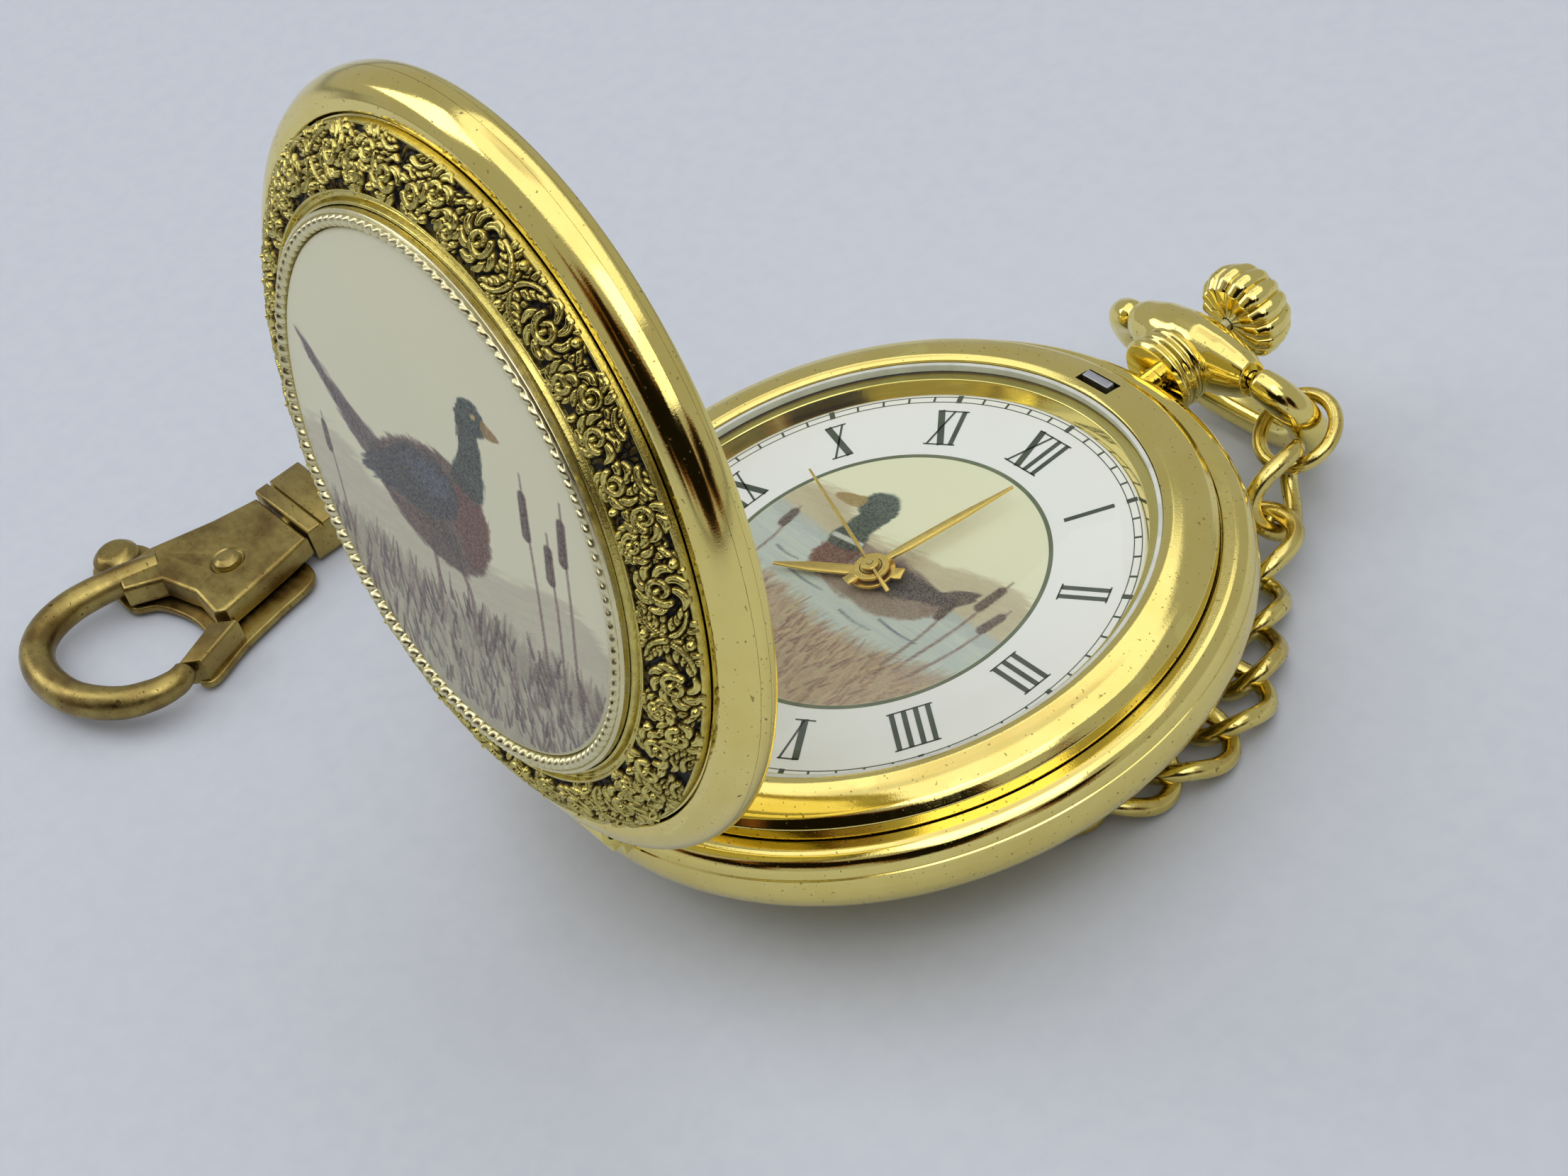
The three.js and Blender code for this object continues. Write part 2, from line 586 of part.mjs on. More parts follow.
for (const { index, links } of chain) {
  let body = placed(curbLink(), links[0]);
  for (let i = 1; i < links.length; i++) {
    body = body.add(placed(curbLink(), links[i])).add(placed(solder(), links[i - 1]));
  }
  const number = String(index + 1).padStart(2, '0');
  node(`chain_${number}`, body, 'gold');
}

// ---- swivel and snap hook ---------------------------------------------------------
const EYE_END = chain[chain.length - 1].end;
const HOOK_X = EYE_END.x;
const HOOK_Z = -1.05;
const COLLAR_END = -18.3;

// A last link brazed to a box-shaped collar, with a pin that turns in the hook.
function swivelEye() {
  const m = new THREE.Matrix4().makeRotationZ(-Math.PI / 2)
    .setPosition(HOOK_X, EYE_END.y - LINK.pitch / 2, CHAIN_Z);
  const top = EYE_END.y - LINK.pitch / 2 - LINK.half;
  const collar = box([HOOK_X - 3.9, COLLAR_END, -2.7], [HOOK_X + 3.7, top + 0.2, 0.1]);
  const pin = alongY(disc(0.6, COLLAR_END - 2.0, COLLAR_END + 1, 12), [HOOK_X, 0, HOOK_Z]);
  return placed(curbLink(), m).add(collar).add(pin);
}
node('swivel_eye', swivelEye(), 'bronze');

function claspBody() {
  let body = plate([
    [-53.5, -18.5], [-46.4, -18.5], [-45.8, -21.0], [-45.3, -24.0], [-44.9, -26.6], [-45.4, -27.4],
    [-48.6, -27.1], [-52.0, -28.0], [-53.6, -30.5], [-56.1, -29.8], [-56.0, -26.6], [-54.4, -22.0],
  ], -2.0, -0.1);
  const path = [
    [-55.1, -28.6, 1.15], [-56.0, -31.2, 1.15], [-56.4, -33.8, 1.2], [-55.8, -36.3, 1.25],
    [-54.0, -38.1, 1.25], [-51.0, -38.9, 1.25], [-47.4, -38.5, 1.2], [-44.4, -36.9, 1.15],
    [-42.8, -34.6, 1.1], [-42.4, -32.0, 0.9],
  ];
  const points = path.map(([x, y]) => new THREE.Vector3(x, y, -0.9));
  body = body.add(bar(framesAlong(points, path.map((row) => row[2]), Z, false), 8, false));
  body = body.subtract(disc(0.62, -4, 1, 12).translate([...RIVET, 0]));
  return body.subtract(alongY(disc(0.67, -20.6, -16, 12), [HOOK_X, 0, HOOK_Z]));
}
node('clasp_body', claspBody(), 'bronze');

// A lever under the body: a thumb tab on one side, on the other a strip that ends in the gate.
function claspTrigger() {
  const lever = plate([
    [-52.0, -20.6], [-47.0, -19.3], [-44.5, -19.8], [-43.7, -23.5], [-42.9, -27.0], [-41.6, -30.4],
    [-42.7, -31.3], [-44.2, -29.6], [-45.6, -28.4], [-48.8, -28.1], [-52.2, -29.0], [-53.8, -30.6],
    [-56.4, -30.6], [-59.6, -30.6], [-61.4, -29.2], [-61.1, -27.3], [-59.4, -26.2], [-57.0, -25.6],
    [-54.4, -22.8],
  ], -2.8, -2.2);
  const gate = plate([[-44.7, -28.1], [-43.4, -27.0], [-41.8, -30.3], [-42.8, -31.0]], -2.3, -0.5);
  return lever.add(gate).subtract(disc(0.62, -4, -1, 12).translate([...RIVET, 0]));
}
node('clasp_trigger', claspTrigger(), 'bronze');

function claspRivet() {
  const outline = [[0, -2.83], [0.55, -2.83], [0.55, -0.04], [1.1, -0.04], [0.9, 0.3], [0, 0.4]];
  return turned(outline, 14).translate([...RIVET, 0]);
}
node('clasp_rivet', claspRivet(), 'bronze');

export default root;
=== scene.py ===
import json
import math

import bmesh
import bpy
import numpy as np
from mathutils import Matrix, Vector

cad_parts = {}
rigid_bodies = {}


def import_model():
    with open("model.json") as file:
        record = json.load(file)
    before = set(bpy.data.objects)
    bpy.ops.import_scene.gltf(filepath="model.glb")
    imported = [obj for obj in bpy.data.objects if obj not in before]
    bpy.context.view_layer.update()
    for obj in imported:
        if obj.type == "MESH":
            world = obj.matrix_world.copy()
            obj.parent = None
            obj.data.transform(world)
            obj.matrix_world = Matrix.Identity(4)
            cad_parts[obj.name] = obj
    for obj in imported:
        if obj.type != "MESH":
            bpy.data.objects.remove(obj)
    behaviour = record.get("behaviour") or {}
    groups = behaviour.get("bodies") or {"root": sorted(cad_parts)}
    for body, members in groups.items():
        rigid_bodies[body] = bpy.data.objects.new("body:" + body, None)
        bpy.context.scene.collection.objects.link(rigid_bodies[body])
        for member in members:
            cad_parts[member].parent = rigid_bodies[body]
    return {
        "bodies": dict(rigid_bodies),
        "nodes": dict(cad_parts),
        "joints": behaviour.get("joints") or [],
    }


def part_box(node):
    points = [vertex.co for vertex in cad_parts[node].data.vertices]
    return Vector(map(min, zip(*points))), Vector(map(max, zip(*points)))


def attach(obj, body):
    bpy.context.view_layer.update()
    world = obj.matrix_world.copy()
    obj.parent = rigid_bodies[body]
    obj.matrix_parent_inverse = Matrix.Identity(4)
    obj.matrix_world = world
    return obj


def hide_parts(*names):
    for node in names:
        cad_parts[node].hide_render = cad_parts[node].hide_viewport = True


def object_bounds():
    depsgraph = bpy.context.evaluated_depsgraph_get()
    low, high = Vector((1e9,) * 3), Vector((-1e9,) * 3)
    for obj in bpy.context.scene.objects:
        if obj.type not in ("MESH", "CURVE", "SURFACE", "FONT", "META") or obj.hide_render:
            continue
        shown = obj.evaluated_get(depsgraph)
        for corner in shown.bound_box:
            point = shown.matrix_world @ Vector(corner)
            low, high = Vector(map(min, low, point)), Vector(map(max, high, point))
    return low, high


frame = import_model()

CAD_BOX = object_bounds()
MM = 0.001
TURN = 2 * math.pi
X, Y, Z = np.eye(3)
RING_STEPS = 288          # sides of a turned ring
SEED = 7

JOINTS = {joint["name"]: joint for joint in frame["joints"]}


def pivot(joint):
    """Where a hinge turns, in millimetres."""
    return np.array(JOINTS[joint]["pos_m"]) / MM


HINGE = pivot("lid_hinge")
LID_OPEN = -JOINTS["lid_hinge"]["range_deg"][0]
HEAD = pivot("bow_swing")          # where the bow pivots in the pendant's head
STEM_Z = HEAD[2]
HEAD_SWELL = 1.22                  # how much taller the head is than it is deep
FLOOR_Z = CAD_BOX[0].z / MM


# ---------------------------------------------------------------- curves and outlines
def unit(vector):
    return vector / np.linalg.norm(vector)


def through(points, steps=8, closed=False):
    """A smooth curve through the points (Catmull-Rom)."""
    p = np.array(points, float)
    n = len(p)
    if closed:
        padded = [p[i % n] for i in range(-1, n + 2)]
    else:
        padded = [2 * p[0] - p[1], *p, 2 * p[-1] - p[-2]]
    out = []
    for i in range(n if closed else n - 1):
        a, b, c, d = padded[i:i + 4]
        for t in np.arange(steps) / steps:
            out.append(0.5 * (2 * b + (c - a) * t + (2 * a - 5 * b + 4 * c - d) * t * t
                              + (3 * b - a - 3 * c + d) * t ** 3))
    if not closed:
        out.append(p[-1])
    return np.array(out)


def rounded(rows, radius=0.07):
    """A closed outline with its corners rounded. A row is (r, z) or (r, z, radius of its own)."""
    corners = np.array([row[:2] for row in rows], float)
    out = []
    for i, row in enumerate(rows):
        here = corners[i]
        back, ahead = corners[i - 1] - here, corners[(i + 1) % len(rows)] - here
        length_back, length_ahead = np.linalg.norm(back), np.linalg.norm(ahead)
        back, ahead = back / length_back, ahead / length_ahead
        bend = math.pi - math.acos(np.clip(back @ ahead, -1, 1))
        cut = (row[2] if len(row) > 2 else radius) * math.tan(bend / 2)
        cut = min(cut, 0.47 * length_back, 0.47 * length_ahead)
        if here[0] < 1e-6 or bend < 0.01 or cut < 1e-3:
            out.append(here)
            continue
        start, end = here + back * cut, here + ahead * cut
        out.append(start + back * min(0.08, 0.3 * (length_back - cut)))
        steps = max(3, math.ceil(bend / math.radians(9)))
        for t in np.linspace(0, 1, steps + 1):
            out.append((1 - t) ** 2 * start + 2 * t * (1 - t) * here + t * t * end)
        out.append(end + ahead * min(0.08, 0.3 * (length_ahead - cut)))
    return np.array(out)


# ---------------------------------------------------------------- solids: (points, faces)
def lathe(outline, steps=RING_STEPS, relief=None):
    """Turn a closed outline of (radius, height) about Z. relief lifts each point off the outline."""
    rows = np.asarray(outline, float)
    angles = np.arange(steps) * TURN / steps
    ahead = np.roll(rows, -1, 0) - np.roll(rows, 1, 0)
    area = np.sum(rows[:, 0] * np.roll(rows[:, 1], -1) - np.roll(rows[:, 0], -1) * rows[:, 1])
    outward = np.c_[ahead[:, 1], -ahead[:, 0]] * np.sign(area)
    outward /= np.maximum(np.linalg.norm(outward, axis=1), 1e-9)[:, None]
    points, starts = [], []
    count = 0
    for i, (r, z) in enumerate(rows):
        starts.append(count)
        if r < 1e-6:
            points.append([[0, 0, z]])
            count += 1
            continue
        lift = relief[i] if relief is not None else np.zeros(steps)
        radius = r + outward[i, 0] * lift
        points.append(np.c_[radius * np.cos(angles), radius * np.sin(angles), z + outward[i, 1] * lift])
        count += steps
    faces = []
    k = np.arange(steps)
    m = (k + 1) % steps
    for i in range(len(rows)):
        j = (i + 1) % len(rows)
        a, b = starts[i], starts[j]
        if rows[i, 0] < 1e-6 and rows[j, 0] < 1e-6:
            continue
        if rows[i, 0] < 1e-6:
            faces += np.c_[np.full(steps, a), b + m, b + k].tolist()
        elif rows[j, 0] < 1e-6:
            faces += np.c_[a + k, a + m, np.full(steps, b)].tolist()
        else:
            faces += np.c_[a + k, a + m, b + m, b + k].tolist()
    return np.vstack(points), faces


def swept(path, radius, side, sides=20, closed=False):
    """A round bar along a path. side is the direction its section is squared to."""
    path = np.asarray(path, float)
    if closed:
        along = np.roll(path, -1, 0) - np.roll(path, 1, 0)
    else:
        along = np.gradient(path, axis=0)
    along /= np.linalg.norm(along, axis=1)[:, None]
    v = np.cross(along, side)
    v /= np.linalg.norm(v, axis=1)[:, None]
    u = np.cross(v, along)
    radius = np.broadcast_to(np.asarray(radius, float), (len(path),))
    angle = (np.arange(sides) + 0.5) * TURN / sides
    section = u[:, None] * np.cos(angle)[None, :, None] + v[:, None] * np.sin(angle)[None, :, None]
    points = (path[:, None] + section * radius[:, None, None]).reshape(-1, 3)
    rows = len(path)
    faces = []
    k = np.arange(sides)
    m = (k + 1) % sides
    for i in range(rows if closed else rows - 1):
        a, b = i * sides, (i + 1) % rows * sides
        faces += np.c_[a + k, a + m, b + m, b + k].tolist()
    if not closed:
        faces.append(list(range(sides))[::-1])
        faces.append(list(range((rows - 1) * sides, rows * sides)))
    return points, faces


def slab(outline, z0, z1, edge=0.12, steps=4):
    """A plate cut to a closed outline, with its rims rounded."""
    flat = np.asarray(outline, float)
    area = np.sum(flat[:, 0] * np.roll(flat[:, 1], -1) - np.roll(flat[:, 0], -1) * flat[:, 1])
    if area < 0:
        flat = flat[::-1]
    ahead = np.roll(flat, -1, 0) - np.roll(flat, 1, 0)
    outward = np.c_[ahead[:, 1], -ahead[:, 0]] / np.linalg.norm(ahead, axis=1)[:, None]
    angles = np.linspace(0, math.pi / 2, steps + 1)
    levels = [(edge * (1 - math.sin(a)), z0 + edge * (1 - math.cos(a))) for a in angles]
    levels += [(edge * (1 - math.sin(a)), z1 - edge * (1 - math.cos(a))) for a in angles[::-1]]
    points = np.vstack([np.c_[flat - outward * inset, np.full(len(flat), z)] for inset, z in levels])
    n = len(flat)
    k = np.arange(n)
    m = (k + 1) % n
    faces = [list(range(n))[::-1], list(range((len(levels) - 1) * n, len(levels) * n))]
    for i in range(len(levels) - 1):
        faces += np.c_[i * n + k, i * n + m, (i + 1) * n + m, (i + 1) * n + k].tolist()
    return points, faces


def block(low, high, edge=0.1):
    """A box with rounded edges, given by its low and high corners."""
    (x0, y0, z0), (x1, y1, z1) = low, high
    return slab(rounded([(x0, y0), (x1, y0), (x1, y1), (x0, y1)], edge * 1.6), z0, z1, edge)


def rod(radius, z0, z1, steps=48, edge=0.05):
    return lathe(rounded([(0, z0), (radius, z0), (radius, z1), (0, z1)], edge), steps)


def turned_to(shape, axis, degrees, about=(0, 0, 0)):
    points, faces = shape
    turn = np.array(Matrix.Rotation(math.radians(degrees), 3, Vector(axis)))
    return (np.asarray(points) - about) @ turn.T + about, faces


def shifted(shape, by):
    return np.asarray(shape[0]) + by, shape[1]


def along_y(shape, at):
    """A turned shape laid along +Y."""
    return shifted(turned_to(shape, X, -90), at)


def along_x(shape, at):
    """A turned shape laid along +X."""
    return shifted(turned_to(shape, Y, 90), at)


def opened(shape):
    """A lid shape, drawn closed, in its open place."""
    return turned_to(shape, X, LID_OPEN, HINGE)


def together(*shapes):
    """Several solids as one shape."""
    points, faces, count = [], [], 0
    for some_points, some_faces in shapes:
        points.append(some_points)
        faces += [[i + count for i in face] for face in some_faces]
        count += len(some_points)
    return np.vstack(points), faces


def combined(base, *operations):
    """Join (UNION) or cut (DIFFERENCE) solids. Each operation is (kind, shape)."""
    def loose(shape):
        mesh = bpy.data.meshes.new("loose")
        mesh.from_pydata(np.asarray(shape[0]).tolist(), [], shape[1])
        facing_out(mesh)
        made = bpy.data.objects.new("loose", mesh)
        bpy.context.scene.collection.objects.link(made)
        return made
    target = loose(base)
    tools = []
    for kind, shape in operations:
        tools.append(loose(shape))
        change = target.modifiers.new(kind, "BOOLEAN")
        change.operation = kind
        change.solver = "MANIFOLD"
        change.object = tools[-1]
    graph = bpy.context.evaluated_depsgraph_get()
    done = target.evaluated_get(graph)
    mesh = done.to_mesh()
    points = np.zeros(len(mesh.vertices) * 3)
    mesh.vertices.foreach_get("co", points)
    faces = [list(face.vertices) for face in mesh.polygons]
    done.to_mesh_clear()
    for thing in [target, *tools]:
        bpy.data.meshes.remove(thing.data)
    return points.reshape(-1, 3), faces


def facing_out(mesh):
    work = bmesh.new()
    work.from_mesh(mesh)
    bmesh.ops.recalc_face_normals(work, faces=work.faces)
    work.to_mesh(mesh)
    work.free()


def piece(name, shape, body, look, replaces=None, crease=32):
    """One visible piece, riding on its body. It stands for the CAD node of the same name."""
    mesh = bpy.data.meshes.new(name)
    mesh.from_pydata((np.asarray(shape[0]) * MM).tolist(), [], shape[1])
    facing_out(mesh)
    mesh.shade_smooth()
    mesh.set_sharp_from_angle(angle=math.radians(crease))
    mesh.materials.append(look)
    made = bpy.data.objects.new(name + "_fine", mesh)
    bpy.context.scene.collection.objects.link(made)
    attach(made, body)
    if replaces is None:
        replaces = [name]
    if replaces:
        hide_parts(*replaces)
    return made


def paint(made, name, values):
    """Store one colour or number for each point of a piece."""
    values = np.asarray(values, np.float32)
    if values.ndim == 1:
        made.data.attributes.new(name, "FLOAT", "POINT").data.foreach_set("value", values)
    else:
        colours = np.c_[values, np.ones(len(values), np.float32)].astype(np.float32)
        made.data.attributes.new(name, "FLOAT_COLOR", "POINT").data.foreach_set("color", colours.ravel())


# ---------------------------------------------------------------- materials
def linear(colour):
    """A screen colour as the linear numbers that shaders use."""
    c = np.asarray(colour, float)
    return np.where(c <= 0.04045, c / 12.92, ((c + 0.055) / 1.055) ** 2.4)


def rgba(colour):
    return (*linear(colour), 1.0)


class Shader:
    """A material written as short node calls. Texture scales are per millimetre."""

    def __init__(self, name, kind=None):
        self.owner = (bpy.data.materials if kind is None else kind).new(name)
        self.owner.use_nodes = True
        self.tree = self.owner.node_tree
        self.tree.nodes.clear()
        where = self.node("TexCoord").outputs["Object"]
        self.place = self.node("VectorMath", {0: where, "Scale": 1 / MM}, operation="SCALE").outputs[0]

    def node(self, kind, sockets=None, **settings):
        made = self.tree.nodes.new("ShaderNode" + kind)
        for key, value in settings.items():
            setattr(made, key, value)
        for key, value in (sockets or {}).items():
            if isinstance(value, bpy.types.NodeSocket):
                self.tree.links.new(value, made.inputs[key])
            else:
                made.inputs[key].default_value = value
        return made

    def noise(self, scale, detail=3.0, stretch=None, roughness=0.55):
        place = self.place
        if stretch:
            place = self.node("Mapping", {"Vector": place, "Scale": stretch}).outputs[0]
        sockets = {"Vector": place, "Scale": scale, "Detail": detail, "Roughness": roughness}
        return self.node("TexNoise", sockets).outputs["Fac"]

    def ramp(self, value, low, high, at_low=0.0, at_high=1.0):
        sockets = {"Value": value, 1: low, 2: high, 3: at_low, 4: at_high}
        return self.node("MapRange", sockets, interpolation_type="SMOOTHSTEP").outputs[0]

    def mix(self, share, first, second, kind="MIX"):
        made = self.node("Mix", {0: share, 6: first, 7: second}, data_type="RGBA", blend_type=kind)
        return made.outputs[2]

    def math(self, kind, first, second):
        return self.node("Math", {0: first, 1: second}, operation=kind, use_clamp=False).outputs[0]

    def bump(self, height, depth, strength=1.0, before=None):
        sockets = {"Height": height, "Distance": depth * MM, "Strength": strength}
        if before is not None:
            sockets["Normal"] = before
        return self.node("Bump", sockets).outputs[0]

    def attribute(self, name, output="Color"):
        return self.node("Attribute", attribute_name=name).outputs[output]

    def finish(self, sockets):
        surface = self.node("BsdfPrincipled", sockets).outputs[0]
        return self.finish_with(surface)

    def finish_with(self, surface):
        self.node("OutputMaterial", {"Surface": surface})
        return self.owner


def metal(name, colour, shade, roughness=0.14, grain=0.0006, scratches=0.0009, specks=0.0, stain=0.35,
          brushed=None):
    """Plated or polished metal: cloudy tint, hairline scratches, dark pits and worn edges."""
    s = Shader(name)
    clouds = s.ramp(s.noise(0.32, 4), 0.35, 0.7)
    tint = s.mix(s.math("MULTIPLY", clouds, stain), rgba(colour), rgba(shade))
    edges = s.ramp(s.node("NewGeometry").outputs["Pointiness"], 0.52, 0.6)
    tint = s.mix(s.math("MULTIPLY", edges, 0.35), tint, rgba([min(1, c * 1.12) for c in colour]))
    smears = s.ramp(s.noise(0.9, 5, (1.0, 2.2, 1.3)), 0.3, 0.75)
    rough = s.math("ADD", roughness, s.math("MULTIPLY", smears, roughness * 0.7))
    normal = s.bump(s.noise(9.0, 3), grain * 10)
    hairs = s.noise(3.0, 2, (0.35, 9.0, 6.0), 0.7)
    normal = s.bump(hairs, scratches, before=normal)
    normal = s.bump(s.noise(2.6, 2, (8.0, 0.4, 5.0), 0.7), scratches, before=normal)
    if brushed:
        normal = s.bump(s.noise(6.0, 4, brushed, 0.7), 0.012, before=normal)
    if specks:
        pits = s.ramp(s.noise(1.15, 1.0), 0.80 - specks, 0.83 - specks)
        fine = s.ramp(s.noise(4.5, 0.0), 0.80 - specks, 0.82 - specks)
        dirt = s.math("MAXIMUM", pits, s.math("MULTIPLY", fine, 0.7))
        tint = s.mix(s.math("MULTIPLY", dirt, 0.8), tint, rgba((0.30, 0.22, 0.08)))
        rough = s.math("ADD", rough, s.math("MULTIPLY", dirt, 0.35))
    return s.finish({"Base Color": tint, "Metallic": 1.0, "Roughness": rough, "Normal": normal})


def patina_and_shade_metal(name, high, low):
    """Cast relief: bright on its raised, polished parts and near-black in its hollows. The hollows hold antique
    patina together with painted shade where light would not reach.
    """
    s = Shader(name)
    relief = s.attribute("relief", "Fac")
    uneven = s.math("ADD", relief, s.math("MULTIPLY", s.math("SUBTRACT", s.noise(2.2, 4), 0.5), 0.34))
    rubbed_and_unshaded = s.ramp(uneven, 0.34, 0.78)
    clouds = s.ramp(s.noise(0.5, 4), 0.3, 0.75)
    bright = s.mix(clouds, rgba(high), rgba([c * 0.88 for c in high]))
    # The hollows run from near-black to amber and lose their shine, darkest where the relief is lowest: patina
    # together with painted shade.
    amber = s.mix(s.ramp(uneven, 0.16, 0.5), rgba(low), rgba((0.46, 0.37, 0.13)))
    tint = s.mix(rubbed_and_unshaded, amber, bright)
    rough = s.math("ADD", s.math("MULTIPLY", s.math("SUBTRACT", 1.0, rubbed_and_unshaded), 0.32), 0.17)
    normal = s.bump(s.noise(7.0, 4), 0.02)
    shine = s.ramp(uneven, 0.10, 0.5, 0.5, 1.0)
    return s.finish({"Base Color": tint, "Metallic": shine, "Roughness": rough, "Normal": normal})


def printed(name, roughness, coat, grain):
    """A print under lacquer. Each point holds its colour; the grain breaks it into fine dots."""
    s = Shader(name)
    art = s.attribute("art")
    dots = s.ramp(s.noise(grain, 2.0), 0.3, 0.7)
    paper = s.attribute("paper")
    ink = s.mix(s.math("MULTIPLY", dots, 0.16), art, paper)
    mottled = s.mix(s.math("MULTIPLY", s.noise(0.25, 3), 0.08), ink, rgba((0.80, 0.76, 0.62)), "MULTIPLY")
    rough = s.math("ADD", roughness, s.math("MULTIPLY", s.noise(1.2, 3), 0.12))
    normal = s.bump(s.noise(1.6, 3), 0.004)
    sockets = {"Base Color": mottled, "Roughness": rough, "Normal": normal, "Coat Weight": coat}
    sockets["Coat Roughness"] = 0.08
    return s.finish(sockets)


def paint_look(name, colour, shade, roughness=0.4, depth=0.004, scale=2.0):
    """Paint, plastic or rubber with a faint mottle and a moulded grain."""
    s = Shader(name)
    tint = s.mix(s.ramp(s.noise(0.6, 4), 0.3, 0.75), rgba(colour), rgba(shade))
    rough = s.math("ADD", roughness, s.math("MULTIPLY", s.noise(1.5, 3), 0.15))
    normal = s.bump(s.noise(scale, 4), depth)
    return s.finish({"Base Color": tint, "Roughness": rough, "Normal": normal})


def glass_look():
    """Thin clear glass: it mirrors at a slant, lets lamps through and holds a few smears."""
    s = Shader("clear_glass")
    slant = s.node("Fresnel", {"IOR": 1.45}).outputs[0]
    smears = s.ramp(s.noise(0.25, 5), 0.45, 0.8, 0.0, 0.01)
    outer_face = s.math("SUBTRACT", 1.0, s.node("NewGeometry").outputs["Backfacing"])
    share = s.math("MULTIPLY", s.math("ADD", s.math("MULTIPLY", slant, 0.6), smears), outer_face)
    clear = s.node("BsdfTransparent", {"Color": (0.97, 0.985, 0.975, 1)}).outputs[0]
    rough = s.math("MULTIPLY", s.noise(0.8, 4), 0.05)
    mirror = s.node("BsdfGlossy", {"Color": (1, 1, 1, 1), "Roughness": rough}).outputs[0]
    return s.finish_with(s.node("MixShader", {0: share, 1: clear, 2: mirror}).outputs[0])


def copper_look():
    """Enamelled wire wound in close turns round a bobbin, with painted shade between the turns and a painted
    highlight along each one.
    """
    s = Shader("wound_copper")
    across = s.node("SeparateXYZ", {0: s.place}).outputs[1]
    turns = s.node("Math", {0: s.math("MULTIPLY", across, 60.0)}, operation="SINE").outputs[0]
    # Painted shade in the grooves and a painted highlight on the crests, from the same wave as the bump.
    tint = s.mix(s.ramp(turns, -1, 1), rgba((0.36, 0.16, 0.06)), rgba((0.80, 0.45, 0.24)))
    normal = s.bump(turns, 0.03)
    return s.finish({"Base Color": tint, "Metallic": 0.9, "Roughness": 0.35, "Normal": normal})


def board_look():
    """Green laminate with paler copper tracks under the lacquer."""
    s = Shader("circuit_board")
    cells = s.node("TexVoronoi", {"Vector": s.place, "Scale": 0.9}, feature="DISTANCE_TO_EDGE").outputs[0]
    tracks = s.ramp(cells, 0.05, 0.09, 1.0, 0.0)
    tint = s.mix(tracks, rgba((0.10, 0.33, 0.20)), rgba((0.30, 0.52, 0.30)))
    normal = s.bump(tracks, 0.02)
    return s.finish({"Base Color": tint, "Roughness": 0.35, "Normal": normal, "Coat Weight": 0.4})


GOLD = (0.940, 0.870, 0.530)
GOLD_SHADE = (0.890, 0.800, 0.420)
gold = metal("gold_plate", GOLD, GOLD_SHADE, roughness=0.065, grain=0.0003, scratches=0.0006, specks=0.02)
mirror_gold = metal("mirror_gold", GOLD, GOLD_SHADE, roughness=0.05, grain=0.0002, scratches=0.0003)
chain_gold = metal("chain_gold", (0.90, 0.83, 0.50), (0.68, 0.56, 0.24), roughness=0.14, specks=0.05, stain=0.6)
pale_gold = metal("pale_gold", (0.90, 0.87, 0.70), (0.80, 0.74, 0.48), roughness=0.2)
hand_gold = metal("hand_gold", (0.93, 0.80, 0.45), (0.86, 0.70, 0.34), roughness=0.22)
bronze = metal("clasp_plate", (0.66, 0.59, 0.35), (0.44, 0.34, 0.18), roughness=0.26, grain=0.0012,
               scratches=0.002, specks=0.04, stain=0.8)
# The near-black second colour is the hollows' patina together with painted shade.
gold_patina_and_shade = patina_and_shade_metal("antique_gold", (0.90, 0.84, 0.48), (0.05, 0.036, 0.016))
brass = metal("movement_brass", (0.80, 0.72, 0.44), (0.70, 0.60, 0.33), roughness=0.3, brushed=(0.4, 6.0, 2.0))
steel = metal("spring_steel", (0.70, 0.71, 0.73), (0.55, 0.56, 0.60), roughness=0.25, brushed=(6.0, 0.4, 2.0))
copper = copper_look()
board = board_look()
rubber = paint_look("gasket_rubber", (0.86, 0.87, 0.84), (0.78, 0.79, 0.76), 0.45)
white_plastic = paint_look("holder_plastic", (0.90, 0.90, 0.88), (0.84, 0.84, 0.80), 0.5)
plate_plastic = paint_look("plate_plastic", (0.80, 0.77, 0.70), (0.72, 0.69, 0.62), 0.5)
numeral_ink = paint_look("numeral_ink", (0.24, 0.27, 0.22), (0.30, 0.33, 0.27), 0.5)
ring_ink = paint_look("ring_ink", (0.36, 0.40, 0.30), (0.44, 0.47, 0.36), 0.5)
dial_print = printed("dial_paint", 0.5, 0.1, 9.0)
plate_print = printed("picture_enamel", 0.38, 0.22, 7.0)
glass = glass_look()


# ---------------------------------------------------------------- case
CASE_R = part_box("case_back")[1].x / MM + 0.8
KNUCKLE_R = 0.85
HINGE_HOLE_R = 0.44


def knuckle(x0, x1):
    return along_x(rod(KNUCKLE_R, 0, x1 - x0), [x0, HINGE[1], HINGE[2]])


def hinge_hole():
    return along_x(rod(HINGE_HOLE_R, 0, 12, edge=0), [-6, HINGE[1], HINGE[2]])


